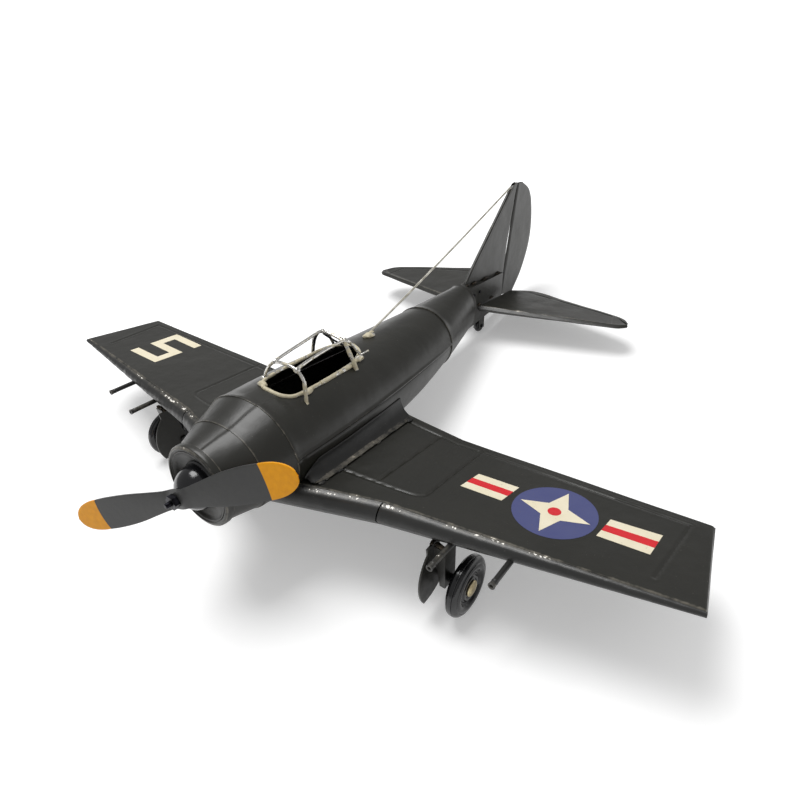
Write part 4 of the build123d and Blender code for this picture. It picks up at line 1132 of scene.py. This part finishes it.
bm = bmesh.new()
add_wire(bm, ((-45.3, 16.8, 21.0), (-45.7, 16.6, 26.0), (-46.0, 16.0, 31.4)), 0.86, lump=0.1, seed=10)
add_wire(bm, ((-80.5, 15.1, 22.0), (-80.2, 13.1, 27.0), (-80.0, 10.8, 31.6), (-80.0, 9.0, 34.8)), 1.05,
         lump=0.15,
         seed=11)
add_blob(bm, (-45.2, 16.9, 21.4), (1.1, 1.1, 0.8), seed=12)
finish_piece(bm, "hoop_legs_cream", [cream_wire])

bm = bmesh.new()
add_wire(bm, rear_hoop, wire_radius, seed=13)
add_wire(bm, ((-81.8, 8.6, 35.4), (-81.6, 3.0, 36.6), (-81.4, -4.6, 37.0)), 0.6, seed=14)
add_blob(bm, (-80.6, 8.8, 35.4), (1.5, 1.2, 1.1), seed=15)
add_blob(bm, (-80.6, -5.0, 36.8), (1.4, 1.2, 1.0), seed=16)
finish_piece(bm, "hoop_rear", [tinned_wire], stands_for=("canopy_rear_hoop",))

left_rail = ((-45.2, 12.4, 36.1), (-52.0, 11.4, 36.4), (-62.0, 10.0, 36.3), (-72.0, 9.0, 36.0),
             (-80.6, 8.6, 35.7),
             (-84.4, 8.8, 32.8), (-87.4, 9.6, 28.0), (-89.6, 10.2, 24.4))
right_rail = ((-45.4, -0.6, 36.4), (-54.0, -2.0, 36.7), (-64.0, -3.0, 37.0), (-74.0, -4.4, 37.2),
              (-80.8, -5.0, 37.3), (-84.6, -5.6, 33.8), (-87.6, -6.4, 29.2), (-90.2, -7.0, 24.8))
loose_end = ((-88.6, 9.9, 25.0), (-90.4, 11.4, 25.6), (-92.0, 13.2, 27.2))
bm = bmesh.new()
add_wire(bm, left_rail, wire_radius, seed=17)
add_wire(bm, right_rail, wire_radius, seed=18)
add_wire(bm, loose_end, 0.5, seed=19)
add_blob(bm, (-46.0, -0.6, 36.4), (1.2, 1.0, 0.9), seed=20)
add_blob(bm, (-45.8, 12.6, 36.0), (1.5, 1.3, 1.2), seed=21)
finish_piece(bm, "cage_rails", [tinned_wire], stands_for=("canopy_rails",))

# Two black steel wires: one over the rear hoop's right leg and one inner arch behind the rear hoop. Their
# black is painted shade, for the dark these wires are seen in.
bm = bmesh.new()
add_wire(bm, ((-80.2, -8.0, 35.2), (-80.2, -11.4, 31.2), (-80.2, -12.4, 23.4)), 0.85, lump=0.12, seed=27)
add_wire(bm, ((-80.0, -4.4, 36.0), (-83.0, 0.0, 32.0), (-87.5, 3.0, 28.2), (-93.0, 3.4, 25.6)), 0.5, seed=22)
finish_piece(bm, "cage_flux_joints", [black_steel])

# %% Aerial
foot_middle = Vector((-110.0, -1.4, 24.7))
bm = bmesh.new()
add_blob(bm, foot_middle, (3.4, 2.3, 1.3), lump=0.4, seed=23)
add_blob(bm, foot_middle + Vector((-1.8, 0.2, 0.9)), (1.7, 1.1, 1.0), seed=24)
finish_piece(bm, "aerial_foot", [cream_wire], stands_for=("antenna_foot",))
aerial_low, aerial_high = foot_middle + Vector((-1.6, -0.2, 1.2)), Vector((-254.4, 0.0, 74.4))
sag = Vector((0, 0, -0.9))
bm = bmesh.new()
add_wire(bm, (aerial_low, aerial_low.lerp(aerial_high, 0.3) + sag, aerial_low.lerp(aerial_high, 0.65) + sag,
              aerial_high), 0.58, lump=0.03, seed=25)
finish_piece(bm, "aerial", [grey_wire], stands_for=("antenna_wire",))

# %% [markdown]
# Wheels are turned from hard rubber or wood and dipped in gloss black, so each is an outline of small
# steps and beads spun about its axle. The ends of the axle are pale rivet heads with a ring pressed in.

# %% Wheels and axles
axle_x, axle_z = -45.4, -36.0
wheel_face = 94.8
wheel_outline = ((0.6, 1.25), (0.6, 4.6), (1.8, 5.4), (1.8, 6.9), (0.6, 7.3), (0.15, 7.9), (0.0, 8.6),
                 (0.0, 9.6),
                 (0.3, 10.6), (0.55, 10.75), (0.6, 11.2), (0.95, 12.1), (1.6, 12.9), (2.0, 13.15),
                 (2.15, 12.95),
                 (2.35, 13.3), (3.2, 13.4), (4.05, 13.3), (4.25, 12.95), (4.4, 13.15), (4.9, 12.9),
                 (5.5, 12.2),
                 (5.85, 11.3), (5.75, 11.1), (5.8, 10.8), (6.1, 10.6), (6.35, 10.0), (6.4, 9.3), (6.3, 8.5),
                 (5.9, 7.9), (5.0, 7.5), (4.8, 7.1), (4.8, 6.6), (5.2, 6.2), (5.3, 5.7), (5.8, 5.3),
                 (5.8, 4.4),
                 (5.4, 4.1), (5.4, 1.25))
axle_outline = ((-10.4, 0.0), (-10.4, 1.7), (-10.1, 2.0), (-9.25, 2.0), (-9.25, 1.2), (-4.2, 1.2),
                (-4.2, 1.7),
                (-3.9, 1.9), (0.2, 1.9), (0.45, 1.7), (0.45, 1.2), (5.55, 1.2), (5.55, 3.3), (5.75, 3.5),
                (6.15, 3.55), (6.45, 3.35), (6.6, 3.0), (6.62, 2.6), (6.5, 2.45), (6.62, 2.3), (6.85, 2.0),
                (7.0, 1.2), (7.05, 0.0))


def on_axle(side):
    """From a shape spun about X to the main axle of one side, its outer face outwards."""
    return Matrix.Translation((axle_x, side * wheel_face, axle_z)) @ Matrix.Rotation(side * PI / 2, 4, "Z")


for name, side in (("left", 1), ("right", -1)):
    bm = turned(wheel_outline, steps=96, closed=True)
    bmesh.ops.transform(bm, matrix=on_axle(side), verts=bm.verts)
    finish_piece(bm, "wheel_" + name, [gloss_enamel], body=name + "_wheel",
                 stands_for=("main_wheel_" + name,),
                 fold=40)
    bm = turned(axle_outline, steps=48)
    for face in bm.faces:
        face.material_index = int(face.calc_center_median().x < 5.5)
    bmesh.ops.transform(bm, matrix=on_axle(side), verts=bm.verts)
    # The shaft and spacer take the darker black that is painted shade on the fillets.
    finish_piece(bm, "axle_" + name, [nickel_brass, dark_enamel], stands_for=("main_axle_" + name,),
                 fold=40)

# %% [markdown]
# The guns are short ends of tube pushed through the leading edge. Their mouths are belled, and near them
# the paint is rubbed lighter and chipped, partly wear and partly a painted highlight on their ends.

# %% Guns
gun_spans = (94.1, 117.4)
for name, side in (("left", 1), ("right", -1)):
    bm = bmesh.new()
    for y in gun_spans:
        lead, trail, lead_z, trail_z, depth = wing_at(y)
        back, tip = lead - 4.9, lead + 0.42 * depth + 13.4
        barrel = turned(((back, 0.62), (back, 1.2), (tip - 2.8, 1.2), (tip - 2.6, 1.35), (tip - 2.0, 1.2),
                         (tip - 0.9, 1.3), (tip - 0.15, 1.45), (tip, 1.35), (tip, 0.8), (tip - 0.3, 0.62)),
                        steps=28, closed=True)
        lumpy(barrel, 3.0, 0.05, y)
        height = lead_z - depth + sheet + 1.6
        bmesh.ops.translate(barrel, vec=(0, side * y, height), verts=barrel.verts)
        loose = bpy.data.meshes.new("barrel")
        barrel.to_mesh(loose)
        barrel.free()
        bm.from_mesh(loose)
        bpy.data.meshes.remove(loose)
    mouth = plane_box("gun_barrels_" + name)[1].x
    # Wear near the mouths lightens them, partly chips and partly a painted highlight on the ends.
    finish_piece(bm, "guns_" + name, [edge_enamel], stands_for=("gun_barrels_" + name,),
                 wear=lambda p: 0.9 if p.x > mouth - 5.5 else 0.0, fold=40)

# %% [markdown]
# The fin, the rudder and the tailplane halves are each a sheet folded round its leading edge. They share
# one helper: a grid is wrapped from the rear edge on one side, round the front, to the rear edge on the
# other side, and the open ends are closed. What differs is the plan and how thick the fold is.

# %% A folded plate
def folded_plate(front, rear, thickness, spans, chords, lift=None):
    """front(u) and rear(u) give the plan, thickness(u, ahead, behind) the half thickness at a point."""
    def place(u, v):
        share = abs(2 * v - 1)          # 0 at the fold and 1 at the rear edge
        share = share ** 1.5
        side = 1 if v > 0.5 else -1
        a, b = Vector(front(u)), Vector(rear(u))
        point = a.lerp(b, share)
        length = (b - a).length
        half = thickness(u, share * length, (1 - share) * length)
        return point.x, side * half, point.y + (lift(u, share) if lift else 0.0)
    bm = mapped_grid(spans, chords, place)
    bmesh.ops.remove_doubles(bm, verts=bm.verts, dist=0.004)
    edges = [e for e in bm.edges if e.is_boundary]
    bmesh.ops.holes_fill(bm, edges=edges, sides=0)
    return bm


def along_points(points):
    """A function that follows a list of (share, x, z) points smoothly."""
    xs, zs = [(p[0], p[1]) for p in points], [(p[0], p[2]) for p in points]
    return lambda u: (curved(u, xs), curved(u, zs))


def folded_edge(radius, flat, seam):
    """Half thickness of a sheet with a fold of a radius, a groove behind it and a flat of its own."""
    def thickness(u, ahead, behind):
        if ahead < radius:
            return math.sqrt(max(radius ** 2 - (radius - ahead) ** 2, 0.0))
        groove = seam * math.exp(-((ahead - 2.2 * radius) / 0.6) ** 2)
        settle = flat + (radius - flat) * math.exp(-((ahead - radius) / (0.8 * radius)) ** 2)
        rim = 1 - 0.35 * math.exp(-(behind / 0.5) ** 2)
        return (settle - groove) * rim
    return thickness


# %% Fin and rudder
fin_front = along_points(((0.0, -201.0, 20.0), (0.09, -202.2, 25.8), (0.5, -227.6, 49.8), (0.9, -251.6, 71.2),
                          (1.0, -257.0, 75.2)))
fin_rear = along_points(((0.0, -250.6, 6.0), (0.5, -255.2, 42.0), (0.9, -261.4, 70.0), (1.0, -263.4, 75.8)))
bm = folded_plate(fin_front, fin_rear, folded_edge(1.15, 0.72, 0.2), 90, 64,
                  lambda u, share: 1.2 * math.sin(PI * share) * u ** 12)
lumpy(bm, 11, 0.14)


def fin_wear(point):
    """Wear along the fin's front fold and its top."""
    lead = between(point.z, [(25.8, -202.2), (49.8, -227.6), (75.2, -257.0)])
    return max(0.7 * (1.0 - min(abs(point.x - lead) / 1.0, 1.0)), 0.6 if point.z > 75.4 else 0.0)


finish_piece(bm, "fin_sheet", [black_enamel], stands_for=("fin",), wear=fin_wear, fold=45)

rudder_front = along_points(((0.0, -250.3, 4.3), (0.5, -257.2, 40.2), (1.0, -263.5, 75.7)))
rudder_rear = along_points(((0.0, -267.8, 2.0), (0.2, -280.4, 15.6), (0.38, -287.8, 30.6),
                            (0.56, -289.4, 43.8),
                            (0.78, -286.4, 60.6), (0.9, -281.0, 69.4), (1.0, -270.6, 75.4)))
bm = folded_plate(rudder_front, rudder_rear, folded_edge(0.5, 0.92, 0.0), 90, 56)
lumpy(bm, 14, 0.16, 5)
finish_piece(bm, "rudder_sheet", [black_enamel], stands_for=("rudder",),
             wear=lambda p: 0.6 if p.z > 75.0 else 0.0, fold=45)

# %% Tailplane
stab_height = 7.2
stab_front = along_points(((0.0, -211.0, 5.6), (0.5, -220.9, 44.6), (0.88, -229.6, 80.6),
                           (0.96, -231.6, 87.6),
                           (1.0, -235.2, 91.4)))
stab_rear = along_points(((0.0, -253.0, 6.6), (0.16, -260.2, 20.8), (0.5, -254.8, 47.6), (0.88, -248.4, 80.2),
                          (0.96, -245.2, 87.6), (1.0, -240.0, 91.4)))
stab_lines = (((-255.6, 20.0), (-246.4, 79.0)), ((-246.4, 79.0), (-234.0, 82.6)))


def stab_thickness(u, ahead, behind):
    """Half thickness of the tailplane, which is a full wedge behind its fold and thins to its rear edge."""
    full = 2.05 - 0.95 * u
    fold = 2.3
    if ahead < fold:
        rise = ahead / fold
        return full * (0.25 * math.sqrt(rise) + 0.75 * rise) if rise > 0 else 0.0
    return full + (0.6 - full) * (ahead - fold) / max(ahead - fold + behind, 0.01)


def stab_wear(point):
    """Wear along the tailplane's fold and its front edge."""
    lead = between(abs(point.y), [(5.6, -211.0), (44.6, -220.9), (81.6, -231.0), (90.7, -237.2)])
    return max(1.0 - abs(point.x - lead + 2.3) / 1.2, 0.5 * max(1.0 - abs(point.x - lead) / 0.8, 0.0), 0.0)


for name, side in (("left", 1), ("right", -1)):
    bm = folded_plate(stab_front, stab_rear, stab_thickness, 150, 120)
    for v in bm.verts:
        x, half, y = v.co
        press = pressed(x, y, stab_lines, 0.5, 0.3) * min(abs(half) / 0.6, 1.0)
        rise = 0.2 * noise.noise(Vector((x / 16, y / 16, side)))
        # The right half was bent: its rear edge stands higher than the left one's.
        behind = min(max((between(y, [(5.6, -213.0), (91.4, -238.0)]) - x) / 34, 0.0),
                     1.3) if side < 0 else 0.0
        rise, x = rise + 5.0 * behind, x - 6.0 * behind * math.sin(PI * min(y / 92, 1.0))
        v.co = Vector((x, side * y, stab_height + math.copysign(max(abs(half) - press, 0.0), half) + rise))
    finish_piece(bm, "tailplane_" + name, [black_enamel], stands_for=("stabiliser_" + name,), wear=stab_wear,
                 fold=28)

# %% [markdown]
# Tin solder with burnt flux holds the tail together, and here it was painted only thinly. A few uneven
# drops at the foot of the fin, on the block and at the gear make those joints look soldered.

# %% Solder at the joints
tail_drops = (((-203.0, 1.4, 24.6), (2.2, 0.7, 0.8)), ((-212.0, 1.3, 23.8), (3.0, 0.7, 0.7)),
              ((-226.0, 1.2, 22.8), (4.0, 0.6, 0.6)), ((-243.0, 1.2, 21.8), (3.2, 0.6, 0.6)),
              ((-214.0, 4.6, 9.6), (1.8, 0.7, 0.9)), ((-232.0, 3.7, 8.6), (2.6, 0.6, 0.7)),
              ((-200.2, 4.6, 20.6), (0.8, 1.2, 1.6)), ((-200.2, 4.9, 3.0), (0.8, 1.3, 1.2)))
gear_drops = (((-38.2, 89.6, -13.6), (1.2, 2.4, 0.9)), ((-39.5, 85.9, -14.2), (2.4, 0.8, 0.9)))
bm = bmesh.new()
for side in (1, -1):
    for number, ((x, y, z), size) in enumerate(tail_drops + gear_drops):
        add_blob(bm, (x, side * y, z), size, lump=0.4, seed=number * 1.7 + side)
finish_piece(bm, "joint_drops", [burnt_solder])

# %% Tail wheel
tail_axle_x, tail_axle_z, tail_half = -223.2, -9.0, 1.5
bm = turned(((-tail_half, 0.66), (-tail_half, 1.9), (-tail_half + 0.35, 2.2), (-tail_half + 0.35, 2.9),
             (-tail_half, 3.2), (-tail_half + 0.1, 3.7), (-0.9, 4.1), (-0.3, 4.27), (0.3, 4.27), (0.9, 4.1),
             (tail_half - 0.1, 3.7), (tail_half, 3.2), (tail_half - 0.35, 2.9), (tail_half - 0.35, 2.2),
             (tail_half, 1.9), (tail_half, 0.66)), steps=48, closed=True)
onto_tail_axle = Matrix.Translation((tail_axle_x, 0, tail_axle_z)) @ Matrix.Rotation(PI / 2, 4, "Z")
bmesh.ops.transform(bm, matrix=onto_tail_axle, verts=bm.verts)
finish_piece(bm, "wheel_rear", [gloss_enamel], body="rear_wheel", stands_for=("tail_wheel",),
             fold=40)
